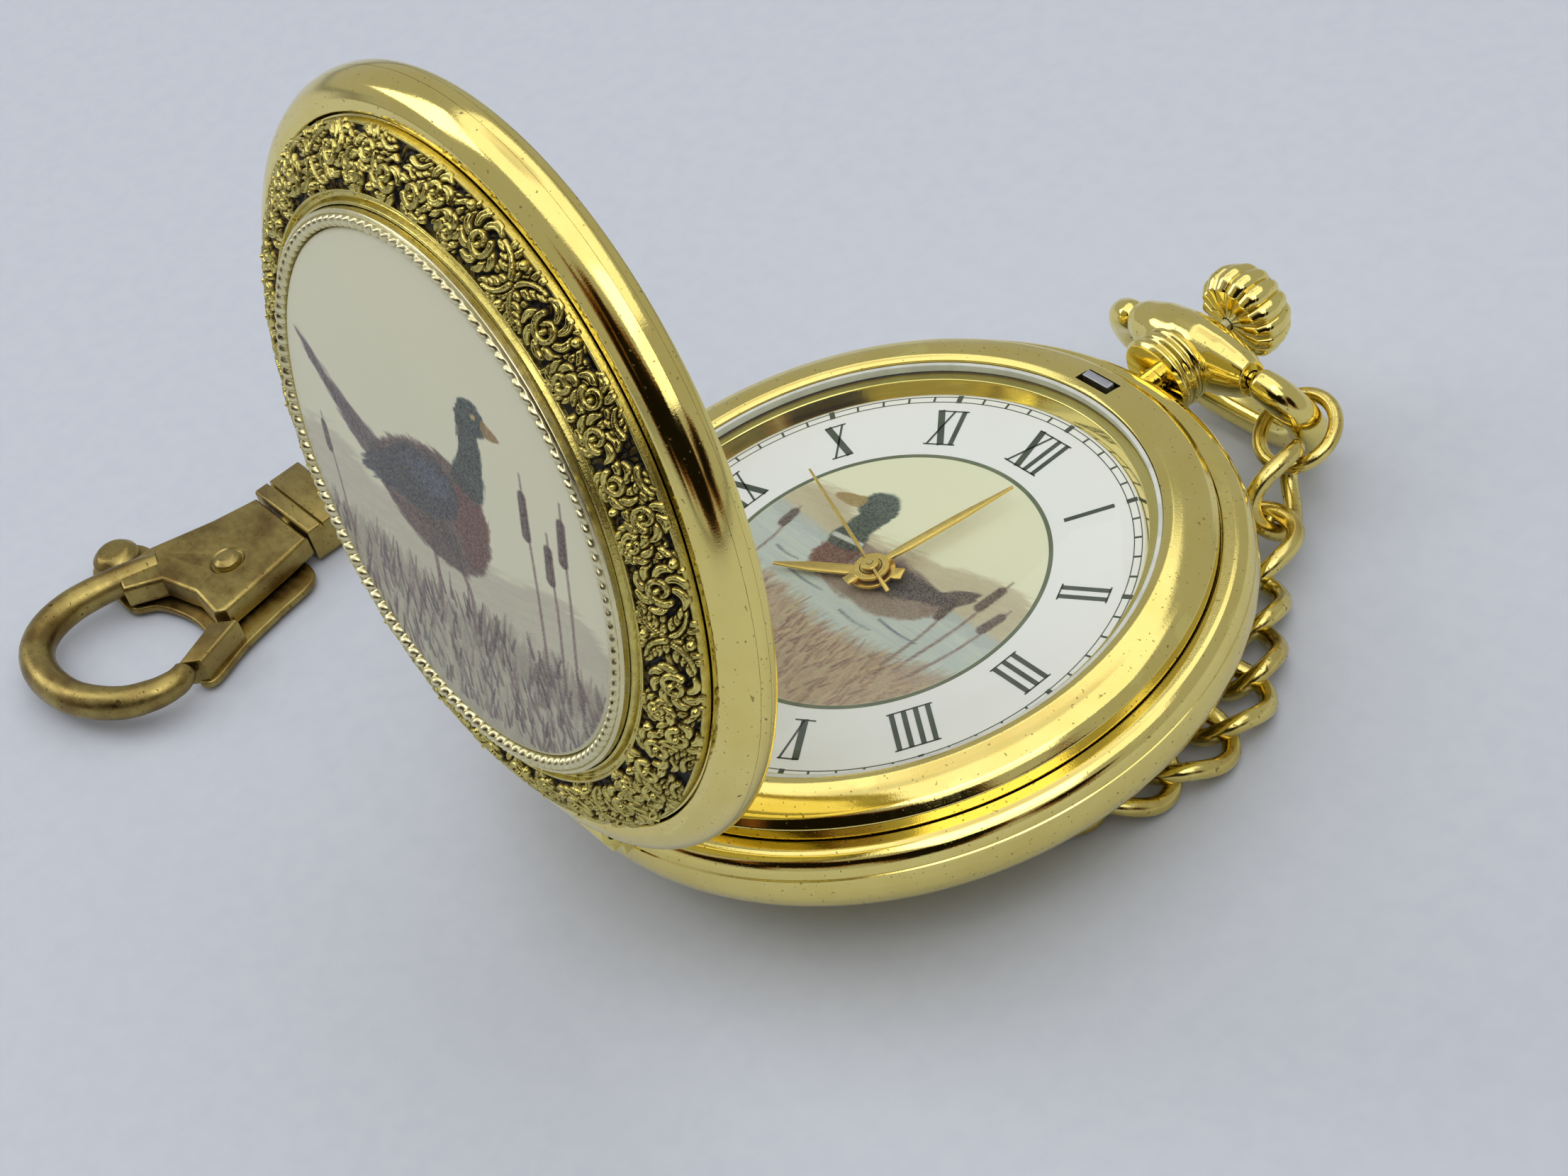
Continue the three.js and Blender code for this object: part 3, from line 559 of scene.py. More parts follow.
def case_body():
    """The band: a barrel side with a scribed line, a rolled rim, and the two outer hinge knuckles."""
    outline = rounded([
        (23.3, 3.0), (23.6, 3.45, 1), (23.9, 4.2, 2), (CASE_R, 5.0, 3), (CASE_R, 5.75, 1), (23.97, 5.95, 0.03),
        (23.86, 6.02, 0.03), (23.93, 6.12, 0.03), (23.86, 6.6, 1.2), (23.62, 7.1, 0.8), (23.2, 7.4, 0.25),
        (22.9, 7.44, 0.1), (22.1, 7.44), (22.1, 7.1), (20.6, 7.1), (20.6, 4.2), (21.75, 4.2), (21.75, 3.0),
    ])
    steps = []
    for x0, x1 in ((-4.6, -2.2), (2.2, 4.6)):
        steps.append(("UNION", knuckle(x0, x1)))
        steps.append(("UNION", block([x0, HINGE[1] + 0.15, 6.2], [x1, HINGE[1] + 1.6, 8.1])))
        steps.append(("UNION", block([x0, HINGE[1] - 0.5, 7.0], [x1, HINGE[1] + 1.2, 7.95])))
    steps.append(("DIFFERENCE", hinge_hole()))
    steps.append(("DIFFERENCE", along_y(rod(0.84, 0, 6, edge=0), [0, 19, STEM_Z])))
    return combined(lathe(outline), *steps)


def case_back():
    return lathe(rounded([
        (0, 0), (11, 0, 30), (17, 0.6, 20), (20.6, 1.45, 12), (22.6, 2.35, 2), (23.2, 2.95), (21.65, 2.95),
        (21.65, 4.0), (21.05, 4.0), (21.05, 2.6), (19.8, 2.0, 3), (16.8, 1.25, 8), (11, 0.7, 8), (0, 0.7),
    ]))


def bezel():
    ring = lathe(rounded([
        (18.95, 7.25), (22.0, 7.25), (22.0, 8.35, 0.2), (21.5, 9.0, 1.0), (20.4, 9.45, 3), (19.2, 9.6, 0.9),
        (18.75, 9.4, 0.12), (18.75, 8.95), (18.95, 8.8),
    ]))
    pocket = block([-4.0, 19.2, 7.0], [1.6, 20.6, 7.75], 0.02)
    slot = block([-1.5, 19.3, 7.5], [1.5, 20.6, 10.2], 0.06)
    return combined(ring, ("DIFFERENCE", pocket), ("DIFFERENCE", slot))


def crystal():
    return lathe(rounded([
        (0, 9.3), (12, 9.0, 40), (18.35, 8.7), (18.35, 9.4, 0.2), (16.6, 9.95, 6), (12, 10.3, 60), (6, 10.52, 90),
        (0, 10.6),
    ]))


def chapter_ring():
    return lathe(rounded([(17.3, 7.62, 0.03), (18.7, 7.62), (18.7, 8.6), (17.75, 8.6, 0.12)]))


piece("case_body", case_body(), "case", gold)
piece("case_back", case_back(), "case", gold)
piece("bezel", bezel(), "case", gold)
piece("crystal", crystal(), "case", glass)
piece("crystal_gasket", lathe(rounded([(18.4, 8.75), (18.7, 8.75), (18.7, 9.3), (18.4, 9.3)], 0.08)),
      "case", rubber)
piece("chapter_ring", chapter_ring(), "case", mirror_gold)
piece("hinge_pin", along_x(rod(0.4, 0, 9.0, edge=0.12), [-4.5, HINGE[1], HINGE[2]]), "case", steel)


# ---------------------------------------------------------------- pendant, crown and bow
def pendant():
    """A ribbed neck under a swollen barrel of a head."""
    neck = lathe(rounded([
        (0, 23.0), (0.8, 23.0), (0.8, 24.25), (2.65, 24.25, 0.1), (2.98, 24.62, 0.3), (2.48, 25.1, 0.2),
        (2.93, 25.52, 0.3), (2.45, 25.92, 0.2), (2.78, 26.32, 0.3), (2.28, 26.76, 0.2), (1.9, 28.9), (0, 28.9),
    ]), 96)
    points, faces = lathe(rounded([
        (0, -5.4), (1.1, -5.4, 0.15), (1.45, -4.6, 2), (1.9, -2.8, 4), (2.1, -1.0, 5), (2.1, 1.0, 5),
        (1.9, 2.8, 4), (1.45, 4.6, 2), (1.1, 5.4, 0.15), (0, 5.4),
    ]), 96)
    head = along_x((points, faces), [0, 0, 0])
    head = shifted((head[0] * [1, 1, HEAD_SWELL], faces), HEAD)
    steps = [("UNION", head), ("DIFFERENCE", along_y(rod(0.5, 21, 31, edge=0), [0, 0, STEM_Z]))]
    for x in (-5.6, 4.0):
        steps.append(("DIFFERENCE", along_x(rod(0.62, 0, 1.6, edge=0), [x, HEAD[1], STEM_Z])))
    return combined(along_y(neck, [0, 0, STEM_Z]), *steps)


def crown():
    """A fluted onion: round lobes between narrow grooves."""
    flutes = 14
    steps = flutes * 24
    outline = rounded([
        (0, 31.0), (1.6, 31.0, 0.15), (2.6, 31.15, 0.4), (3.28, 31.95, 1.0), (3.32, 33.1, 1.5), (2.7, 34.4, 1.5),
        (1.3, 35.0, 1.6), (0, 35.08),
    ])
    lobes = 1 - np.abs(np.cos(np.arange(steps) * TURN / steps * flutes / 2)) ** 0.6
    depth = np.clip((outline[:, 0] - 1.1) / 1.5, 0, 1)
    relief = -0.36 * np.outer(depth, lobes)
    shape = along_y(lathe(outline, steps, relief), [0, 0, STEM_Z])
    return combined(shape, ("DIFFERENCE", along_y(rod(0.5, 29, 32.6, edge=0), [0, 0, STEM_Z])))


BOW_DROP = -68           # degrees of the bow below straight out
BOW_HALF = [
    (4.2, 0, 0.54), (5.3, 0, 0.54), (5.75, 0, 0.56), (6.0, 0.02, 0.95), (6.5, 0.2, 1.1), (7.3, 0.85, 1.2),
    (8.0, 2.3, 1.25), (8.15, 4.1, 1.27), (7.4, 6.1, 1.27), (5.6, 7.6, 1.27), (2.9, 8.5, 1.25), (0, 8.72, 1.25),
]


def bow():
    rows = BOW_HALF + [(-x, y, r) for x, y, r in BOW_HALF[-2::-1]]
    smooth = through(rows, 7)
    path = np.c_[smooth[:, :2], np.zeros(len(smooth))]
    return shifted(turned_to(swept(path, smooth[:, 2], Z, 32), X, BOW_DROP), HEAD)


piece("pendant", pendant(), "case", gold)
piece("crown", crown(), "crown", gold)
piece("bow", bow(), "bow", gold)


# ---------------------------------------------------------------- catch
def catch():
    """The blade that stands in its slot, and the leaf that carries it round the movement."""
    arc = np.radians(np.linspace(99, 165, 40))
    wall = np.vstack([np.c_[20.2 * np.cos(arc), 20.2 * np.sin(arc)],
                      np.c_[19.5 * np.cos(arc), 19.5 * np.sin(arc)][::-1]])
    return combined(
        slab(wall, 4.4, 5.4, 0.04),
        ("UNION", block([-4.0, 19.55, 4.4], [-2.6, 20.05, 7.5], 0.04)),
        ("UNION", block([-4.0, 19.56, 7.15], [1.2, 20.28, 7.5], 0.04)),
        ("UNION", block([-1.2, 19.7, 7.16], [1.2, 20.3, 9.7], 0.07)),
    )


piece("catch_spring", catch(), "catch", steel)


# ---------------------------------------------------------------- lid
def lid_shell():
    """The rolled rim, the shallow tray that holds the picture, and the middle knuckle."""
    outline = rounded([
        (0, 12.2), (17.0, 12.2), (17.3, 11.7), (19.5, 11.2), (21.75, 10.2, 0.05), (21.95, 10.42, 0.1),
        (22.55, 10.42, 0.5), (23.4, 10.08, 1.4), (23.98, 9.3, 1.6), (24.12, 8.55, 2.0), (24.06, 7.95, 1.0),
        (23.85, 7.6, 0.15), (22.8, 7.6, 0.1), (22.65, 8.6), (22.5, 9.1, 0.5), (21.6, 9.6, 1.5), (19.4, 10.5, 4),
        (17.2, 11.1, 6), (0, 11.5),
    ])
    steps = []
    for x in (-4.75, 2.1):
        steps.append(("DIFFERENCE", along_x(rod(1.0, 0, 2.65, edge=0), [x, HINGE[1], HINGE[2]])))
        gap = block([x, HINGE[1] - 1.1, 7.0], [x + 2.65, HINGE[1] + 1.8, 8.3], 0.03)
        steps.append(("DIFFERENCE", gap))
    steps.append(("UNION", knuckle(-2.0, 2.0)))
    steps.append(("UNION", block([-2.0, HINGE[1] + 0.1, 8.5], [2.0, HINGE[1] + 1.8, 9.1])))
    steps.append(("DIFFERENCE", hinge_hole()))
    return opened(combined(lathe(outline), *steps))


piece("lid_shell", lid_shell(), "lid", gold)


# The scroll band. A stroke is (path, half widths, height, number of grooves along it), in millimetres:
# the first coordinate runs round the band and the second one across it.
BAND_MID = 19.9
BAND_LENGTH = TURN * BAND_MID
BAND_WIDTH = 3.4
BAND_STEPS = 1600
BAND_ROWS = 52
REPEATS = 12


def curl(start, end, bend, count=24):
    """A curved path between two points, bowed sideways by bend."""
    start, end = np.array(start, float), np.array(end, float)
    t = np.linspace(0, 1, count)[:, None]
    side = np.array([-(end - start)[1], (end - start)[0]])
    return start + (end - start) * t + side * bend * 4 * t * (1 - t)


def taper(first, last, count=24):
    return np.linspace(first, last, count)


def polar(centre, radius, degrees):
    a = math.radians(degrees)
    return np.array(centre) + radius * np.array([math.cos(a), math.sin(a)])


def leaf(root, tip, bend, width, height=0.42):
    """A comma-shaped leaf: pointed at the root, full near the middle, with a vein pressed into it."""
    t = np.linspace(0, 1, 18)
    widths = width * (0.35 + 0.65 * np.sin(math.pi * (0.15 + 0.78 * t)))
    return (curl(root, tip, bend, 18), widths, height, 1)


def scroll(centre, radius, hand, start, turns=1.3):
    """A rolled volute, fringed on its outside with leaves that lie back along it."""
    strokes = []
    for k in range(7):
        degrees = start + hand * (20 + 46 * k)
        root = polar(centre, radius * 0.66, degrees)
        tip = polar(centre, radius * 1.30, degrees + hand * 44)
        strokes.append(leaf(root, tip, -0.28 * hand, 0.27, 0.46))
    t = np.linspace(0, 1, 60)
    angle = math.radians(start) + hand * t * turns * TURN
    r = radius * (0.72 - 0.56 * t)
    path = np.c_[centre[0] + r * np.cos(angle), centre[1] + r * np.sin(angle)]
    strokes.append((path, taper(0.22, 0.12, 60), 0.50, 1))
    strokes.append((np.array([path[-1], path[-1] + 0.01]), np.array([0.2, 0.2]), 0.56, 0))
    return strokes


def frond(root, tip, bend, lobes=4, size=0.8):
    """An acanthus leaf: broad lobes fanned along a stem, the longest ones in the middle."""
    spine = curl(root, tip, bend, 30)
    heading = unit(np.array(tip, float) - np.array(root, float))
    across = np.array([-heading[1], heading[0]])
    strokes = []
    for k in range(lobes):
        share = (k + 0.6) / (lobes + 0.4)
        at = spine[int(share * 29)]
        reach = size * (1.2 - 0.7 * abs(share - 0.4))
        for hand in (-1, 1):
            end = at + heading * reach * 0.85 + across * hand * reach * 0.62
            strokes.append(leaf(at, end, 0.28 * hand, 0.22, 0.44))
    strokes.append((spine, taper(0.2, 0.1, 30), 0.48, 1))
    return strokes


def bead(centre, radius):
    return [(np.array([centre, np.array(centre) + 0.01], float), np.array([radius, radius]), 0.58, 0)]


def half_repeat(random):
    """The strokes of one half of the pattern, about ten millimetres long."""
    def near(x, y, r):
        return (x + random.uniform(-0.12, 0.12), y + random.uniform(-0.05, 0.05)), r * random.uniform(0.93, 1.07)
    strokes = []
    strokes += frond((0.1, 1.7), (1.8, 3.1), 0.15, 4, 0.8)
    strokes += frond((0.1, 1.7), (1.7, 0.3), -0.15, 4, 0.8)
    strokes += [(curl((1.2, 1.7), (9.6, 1.6), 0.06, 90), taper(0.2, 0.16, 90), 0.36, 1)]
    strokes += frond((4.2, 3.3), (6.2, 0.2), 0.2, 5, 0.55)
    strokes += scroll(*near(3.1, 1.95, 1.12), 1, 150)
    strokes += frond((4.6, 0.35), (5.9, 2.9), -0.22, 4, 0.6)
    strokes += scroll(*near(5.55, 1.0, 0.78), -1, 30)
    strokes += scroll(*near(7.1, 2.3, 0.92), 1, 200)
    strokes += scroll(*near(9.05, 1.35, 1.08), -1, -20)
    strokes += frond((9.6, 2.9), (8.2, 3.2), 0.2, 3, 0.5)
    for centre, radius in (((0.12, 0.35), 0.27), ((0.1, 3.05), 0.3), ((4.55, 3.05), 0.3), ((7.6, 0.5), 0.27)):
        strokes += bead(centre, radius)
    return strokes


def filler(random):
    """A small leaf that shows wherever the larger scrolls leave a gap."""
    root = np.array([random.uniform(0, BAND_LENGTH), random.uniform(0.1, BAND_WIDTH - 0.1)])
    tip = polar(root, random.uniform(0.6, 1.1), random.uniform(0, 360))
    return leaf(root, tip, random.uniform(-0.5, 0.5), random.uniform(0.18, 0.26), 0.20)


def carve(field, stroke):
    """Lay one stroke over the band, with a narrow dark gap round it."""
    path, widths, height, grooves = stroke
    pitch = BAND_LENGTH / BAND_STEPS
    row_pitch = BAND_WIDTH / (BAND_ROWS - 1)
    gap = 0.13
    reach = widths.max() + gap
    first = math.floor((path[:, 0].min() - reach) / pitch)
    last = math.ceil((path[:, 0].max() + reach) / pitch)
    low = max(0, math.floor((path[:, 1].min() - reach) / row_pitch))
    high = min(BAND_ROWS - 1, math.ceil((path[:, 1].max() + reach) / row_pitch))
    if high <= low:
        return
    columns = np.arange(first, last + 1)
    rows = np.arange(low, high + 1)
    s = columns[None, :, None] * pitch
    t = rows[:, None, None] * row_pitch
    distance = np.hypot(s - path[None, None, :, 0], t - path[None, None, :, 1])
    nearest = (distance / widths).argmin(2)
    away = np.take_along_axis(distance, nearest[:, :, None], 2)[:, :, 0]
    width = widths[nearest]
    share = away / width
    shape = height * np.sqrt(np.clip(1 - share ** 2, 0, 1)) ** 0.8
    if grooves:
        shape *= 1 - 0.38 * np.exp(-(share / 0.26) ** 2)
    index = np.ix_(rows, columns % BAND_STEPS)
    under = field[index] * np.clip((away - width) / gap, 0, 1)
    field[index] = np.where(share < 1, np.maximum(shape, field[index] * 0.5), under)


def scroll_heights():
    random = np.random.default_rng(SEED)
    field = np.full((BAND_ROWS, BAND_STEPS), 0.05)
    for _ in range(1500):
        carve(field, filler(random))
    length = BAND_LENGTH / REPEATS
    for repeat in range(REPEATS):
        for path, widths, height, grooves in half_repeat(random):
            path = path.copy()
            if repeat % 2:
                path[:, 0] = length - path[:, 0]
            path[:, 0] += repeat * length
            carve(field, (path, widths, height, grooves))
    return field


def scroll_band():
    """The cast band: scrolls standing on a dark, dished ground."""
    ground = through([(18.2, 12.02), (19.2, 11.83), (20.3, 11.43), (21.44, 10.70)], 200)
    reach = np.r_[0, np.cumsum(np.linalg.norm(np.diff(ground, axis=0), axis=1))]
    at = np.linspace(0, reach[-1], BAND_ROWS)
    top = np.c_[np.interp(at, reach, ground[:, 0]), np.interp(at, reach, ground[:, 1])]
    outline = np.vstack([top, [(21.5, 10.5), (19.5, 11.36), (18.1, 11.72)]])
    heights = scroll_heights()
    relief = np.zeros((len(outline), BAND_STEPS))
    relief[:BAND_ROWS] = heights
    shape = opened(lathe(outline, BAND_STEPS, relief))
    made = piece("lid_scroll_band", shape, "lid", gold_patina_and_shade, ["lid_ornament_ring"], crease=180)
    # The relief heights also set the colour: the hollows get patina and painted shade.
    paint(made, "relief", (relief / 0.5).ravel())


def ornament_frame():
    """A smooth channel beside the rope and a fine wire on both sides of the scrolls."""
    inner = rounded([
        (17.36, 11.84, 0.03), (17.36, 12.5, 0.06), (17.52, 12.42, 0.1), (17.68, 12.05, 0.15), (17.94, 12.0, 0.08),
        (18.02, 12.32, 0.07), (18.17, 12.32, 0.07), (18.22, 11.8, 0.03),
    ])
    outer = rounded([
        (21.44, 10.62, 0.02), (21.48, 10.92, 0.06), (21.64, 10.86, 0.06), (21.68, 10.38, 0.03), (21.5, 10.44, 0.02),
    ])
    shape = together(lathe(inner), lathe(outer))
    made = piece("lid_ornament_ring", opened(shape), "lid", gold_patina_and_shade, [])
    paint(made, "relief", np.full(len(shape[0]), 0.68))


def rope_bezel():
    """A twisted bead edge beside a plain rolled lip."""
    strands = 124
    steps = strands * 8
    bead_part = through([(16.22, 12.45), (16.25, 12.95), (16.5, 13.25), (16.85, 13.25), (17.0, 12.98)], 5)
    lip = rounded([(17.02, 12.9, 0.03), (17.1, 13.02, 0.08), (17.3, 12.9, 0.1), (17.3, 12.32, 0.05),
                   (16.3, 12.32, 0.05)], 0.05)
    outline = np.vstack([bead_part, lip])
    angle = np.arange(steps) * TURN / steps
    rows = np.linspace(0, 1, len(bead_part))
    phase = angle[None, :] * strands + rows[:, None] * 3.4
    strand = 0.24 * (np.abs(np.cos(phase / 2)) ** 0.8 - 1)
    fade = np.clip(np.minimum(rows, 1 - rows) * 6, 0, 1)[:, None]
    relief = np.zeros((len(outline), steps))
    relief[:len(bead_part)] = strand * fade
    piece("rope_bezel", opened(lathe(outline, steps, relief)), "lid", pale_gold, crease=180)


scroll_band()
ornament_frame()
rope_bezel()


# ---------------------------------------------------------------- prints
def value_noise(x, y, seed):
    """Smooth noise from 0 to 1, the same on every run."""
    def corner(i, j):
        n = np.sin(i * 127.1 + j * 311.7 + seed * 74.7) * 43758.5453
        return n - np.floor(n)
    i, j = np.floor(x), np.floor(y)
    u, v = x - i, y - j
    u, v = u * u * (3 - 2 * u), v * v * (3 - 2 * v)
    low = corner(i, j) * (1 - u) + corner(i + 1, j) * u
    high = corner(i, j + 1) * (1 - u) + corner(i + 1, j + 1) * u
    return low * (1 - v) + high * v


class Picture:
    """Screen colours on flat points, laid down like coloured pencil."""

    def __init__(self, points, paper):
        self.x, self.y = points[:, 0], points[:, 1]
        self.paper = np.tile(np.array(paper, float), (len(points), 1))
        self.colour = self.paper.copy()
        self.layer = 0

    def hatch(self, degrees, fine, long):
        """Pencil strokes laid at an angle, from 0 to 1."""
        self.layer += 1
        a = math.radians(degrees)
        u = self.x * math.cos(a) + self.y * math.sin(a)
        v = -self.x * math.sin(a) + self.y * math.cos(a)
        coarse = value_noise(u / long, v / fine, self.layer)
        return 0.65 * coarse + 0.35 * value_noise(u / long * 2.7, v / fine * 2.1, self.layer + 50)

    def deepen(self, strength, reach=None):
        """Press the ink harder, and keep it inside a circle."""
        kept = 1.0 if reach is None else np.clip((reach - np.hypot(self.x, self.y)) / 0.1, 0, 1)[:, None]
        self.colour = np.clip(self.paper + (self.colour - self.paper) * strength * kept, 0.03, 1)

    def cover(self, amount, colour):
        amount = np.clip(amount, 0, 1)[:, None]
        self.colour += amount * (np.array(colour) - self.colour)

    def distance(self, path, closed=False):
        """How far each point is from a path, how far along it the nearest spot is, and what is inside."""
        path = np.asarray(path, float)
        ends = np.vstack([path, path[:1]]) if closed else path
        best = np.full(len(self.x), 1e9)
        share = np.zeros(len(self.x))
        inside = np.zeros(len(self.x), bool)
        for i in range(len(ends) - 1):
            (ax, ay), (bx, by) = ends[i], ends[i + 1]
            dx, dy = bx - ax, by - ay
            t = np.clip(((self.x - ax) * dx + (self.y - ay) * dy) / (dx * dx + dy * dy + 1e-12), 0, 1)
            gap = np.hypot(self.x - ax - t * dx, self.y - ay - t * dy)
            nearer = gap < best
            best = np.where(nearer, gap, best)
            share = np.where(nearer, (i + t) / (len(ends) - 1), share)
            if closed and ay != by:
                crosses = (ay > self.y) != (by > self.y)
                inside ^= crosses & (self.x < ax + (self.y - ay) / (by - ay) * dx)
        return best, share, inside

    def patch(self, outline, colour, edge=0.25, grain=0.5, degrees=0, fine=0.16, long=1.1, strength=1.0):
        """Fill an outline, with strokes that fray its edge."""
        gap, _, inside = self.distance(through(outline, 6, True), True)
        signed = np.where(inside, gap, -gap)
        strokes = self.hatch(degrees, fine, long)
        full = np.clip((signed + (strokes - 0.5) * edge * 2) / edge + 0.5, 0, 1)
        self.cover(full * (1 - 0.6 * grain * strokes) * strength, colour)

    def line(self, points, width, colour, tip=0.3, grain=0.4, strength=1.0):
        """A drawn line that thins towards its end."""
        gap, share, _ = self.distance(through(points, 6))
        half = width / 2 * (1 - (1 - tip) * share)
        strokes = self.hatch(35, 0.14, 0.3)
        self.cover(np.clip((half - gap) / 0.1 + 0.5, 0, 1) * (1 - grain * strokes) * strength, colour)

    def feathers(self, count, root, step, sweep, turn, width, colour, tip, strength=0.7, grain=0.3):
        """A fan of lines: each root moves by step, and each line's sweep changes by turn."""
        for k in range(count):
            start = np.add(root, np.multiply(step, k))
            end = start + np.add(sweep, np.multiply(turn, k))
            self.line([start, end], width, colour, tip, grain, strength)

    def tufts(self, outline, colours, count, length, lean, seed, width=0.14):
        """Grass blades scattered inside an outline."""
        random = np.random.default_rng(seed)
        outline = np.asarray(outline, float)
        low, high = outline.min(0), outline.max(0)
        for _ in range(count):
            root = random.uniform(low, high)
            tip = root + length * random.uniform(0.5, 1.2) * np.array([math.sin(lean + random.uniform(-.5, .5)), 1.0])
            near = (np.abs(self.x - root[0]) < length * 1.5) & (np.abs(self.y - root[1]) < length * 1.6)
            if not near.any():
                continue
            t = np.clip(((self.x[near] - root[0]) * (tip - root)[0] + (self.y[near] - root[1]) * (tip - root)[1])
                        / ((tip - root) @ (tip - root)), 0, 1)
            gap = np.hypot(self.x[near] - root[0] - t * (tip - root)[0], self.y[near] - root[1] - t * (tip - root)[1])
            amount = np.clip((width * (1 - 0.6 * t) - gap) / 0.08 + 0.5, 0, 1)[:, None] * random.uniform(0.3, 0.8)
            self.colour[near] += amount * (np.array(colours[random.integers(len(colours))]) - self.colour[near])


SCENE_R = 11.25          # the dial's landscape stays inside this circle
BROWN, RUST, SLATE = (0.36, 0.27, 0.24), (0.50, 0.30, 0.22), (0.24, 0.24, 0.28)
PLUM, TWIG, STRAW = (0.40, 0.31, 0.34), (0.55, 0.45, 0.42), (0.76, 0.70, 0.56)
BOTTLE, BEAK, INK = (0.20, 0.27, 0.24), (0.66, 0.56, 0.34), (0.13, 0.13, 0.16)


def reeds(art, rows):
    """Bulrushes, each a bent stem with a dark head. A row is (foot x, foot y, tip x, tip y)."""
    for x0, y0, x1, y1 in rows:
        foot, tip = np.array([x0, y0]), np.array([x1, y1])
        art.line([foot, (foot + tip) / 2 + (0.3, 0), tip], 0.26, TWIG, 0.6)
        art.line([foot + (tip - foot) * 0.72, foot + (tip - foot) * 0.9], 0.8, BROWN, 0.9)


def plate_landscape(art):
    """Pale hills, bulrushes on both sides and rough grass below."""
    hills = [(-16, -2.2), (-11, -0.4), (-6, -1.8), (0, -0.6), (6, -2.0), (11, -0.8), (16, -2.6),
             (16, -9), (-16, -9)]
    art.patch(hills, (0.78, 0.76, 0.66), 0.8, 0.6, 10, 0.3, 2.4, 0.75)
    ground = [(-16, -7.0), (-8, -6.4), (0, -7.0), (8, -6.2), (16, -7.2), (14, -15), (0, -17), (-14, -15)]
    art.patch(ground, (0.56, 0.53, 0.45), 1.6, 0.85, 70, 0.3, 1.6, 0.6)
    reeds(art, [(9.4, -8, 10.0, 6.4), (10.8, -8, 11.8, 3.4), (12.0, -8, 13.4, 6.0), (-11.8, -8, -12.6, 0.2)])
    blades = [BROWN, (0.52, 0.50, 0.40), PLUM, (0.60, 0.52, 0.48)]
    art.tufts([(-15, -15), (15, -6.6)], blades, 640, 1.7, 0.15, 3)


def plate_bird(art):
    """A game bird that stands in the grass and faces right, with its long tail held out behind."""
    tail = [(-5.0, 1.6), (-9.0, 3.0), (-13.4, 5.4), (-13.6, 4.8), (-10.0, 1.8), (-5.8, -0.8)]
    art.patch(tail, (0.41, 0.34, 0.33), 0.3, 0.45, -25, 0.16, 1.6)
    art.feathers(8, (-6.4, 0.4), (-0.9, 0.5), (-0.5, 1.2), (0.04, -0.1), 0.2, (0.26, 0.21, 0.21), 0.8)
    for hip, foot in ((-0.8, -1.4), (1.6, 2.0)):
        art.line([(hip, -3.0), (foot + 0.5, -5.2), (foot, -8.0)], 0.45, TWIG, 0.7)
    body = [(5.8, 0.6), (5.2, 3.0), (2.6, 4.1), (-1.4, 3.6), (-5.0, 2.0), (-6.8, 0.2), (-4.6, -2.4),
            (-1.0, -3.9), (2.6, -3.8), (5.0, -2.0)]
    art.patch(body, BROWN, 0.35, 0.6, -15, 0.2, 1.2)
    art.tufts([(-4.4, -3.0), (3.0, 1.0)], [(0.22, 0.16, 0.15), (0.60, 0.46, 0.36), RUST], 90, 0.8, -1.2, 21)
    breast = [(5.8, 0.6), (5.2, 3.0), (3.4, 3.6), (2.5, 0.6), (3.1, -2.6), (4.8, -2.0)]
    art.patch(breast, RUST, 0.5, 0.5, 70, 0.2, 0.8, 0.9)
    wing = [(3.0, 2.1), (1.2, 3.3), (-2.2, 2.9), (-5.6, 0.8), (-8.0, -1.0), (-4.8, -1.3), (-0.6, -1.1),
            (2.4, 0.0)]
    art.patch(wing, SLATE, 0.35, 0.35, 20, 0.18, 1.8)
    coverts = [(2.6, 1.8), (1.0, 2.8), (-1.6, 2.4), (-2.4, 1.2), (0.4, 0.5)]
    art.patch(coverts, (0.44, 0.47, 0.52), 0.6, 0.55, 30, 0.2, 1.4, 0.75)
    art.feathers(6, (-0.6, 1.9), (0.15, -0.44), (-4.6, -1.9), (0.1, 0.32), 0.15, INK, 0.6, 0.8)
    neck = [(3.0, 3.2), (4.1, 5.4), (4.6, 7.6), (6.2, 7.5), (6.3, 5.2), (5.7, 2.4)]
    art.patch(neck, BOTTLE, 0.2, 0.35, 75, 0.14, 0.8)
    head = [(4.4, 7.2), (4.7, 8.7), (5.9, 9.3), (7.1, 8.7), (7.2, 7.6), (6.0, 6.9)]
    art.patch(head, (0.23, 0.30, 0.28), 0.15, 0.3)
    beak = [(7.0, 8.5), (8.6, 7.7), (7.0, 7.5)]
    art.patch(beak, BEAK, 0.08, 0.2)
    art.line([(6.1, 8.3), (6.3, 8.35)], 0.3, (0.86, 0.74, 0.46), 1.0, 0.1)


def plate_picture(points):
    art = Picture(points, (0.93, 0.925, 0.80))
    plate_landscape(art)
    plate_bird(art)
    art.deepen(1.3)
    return art


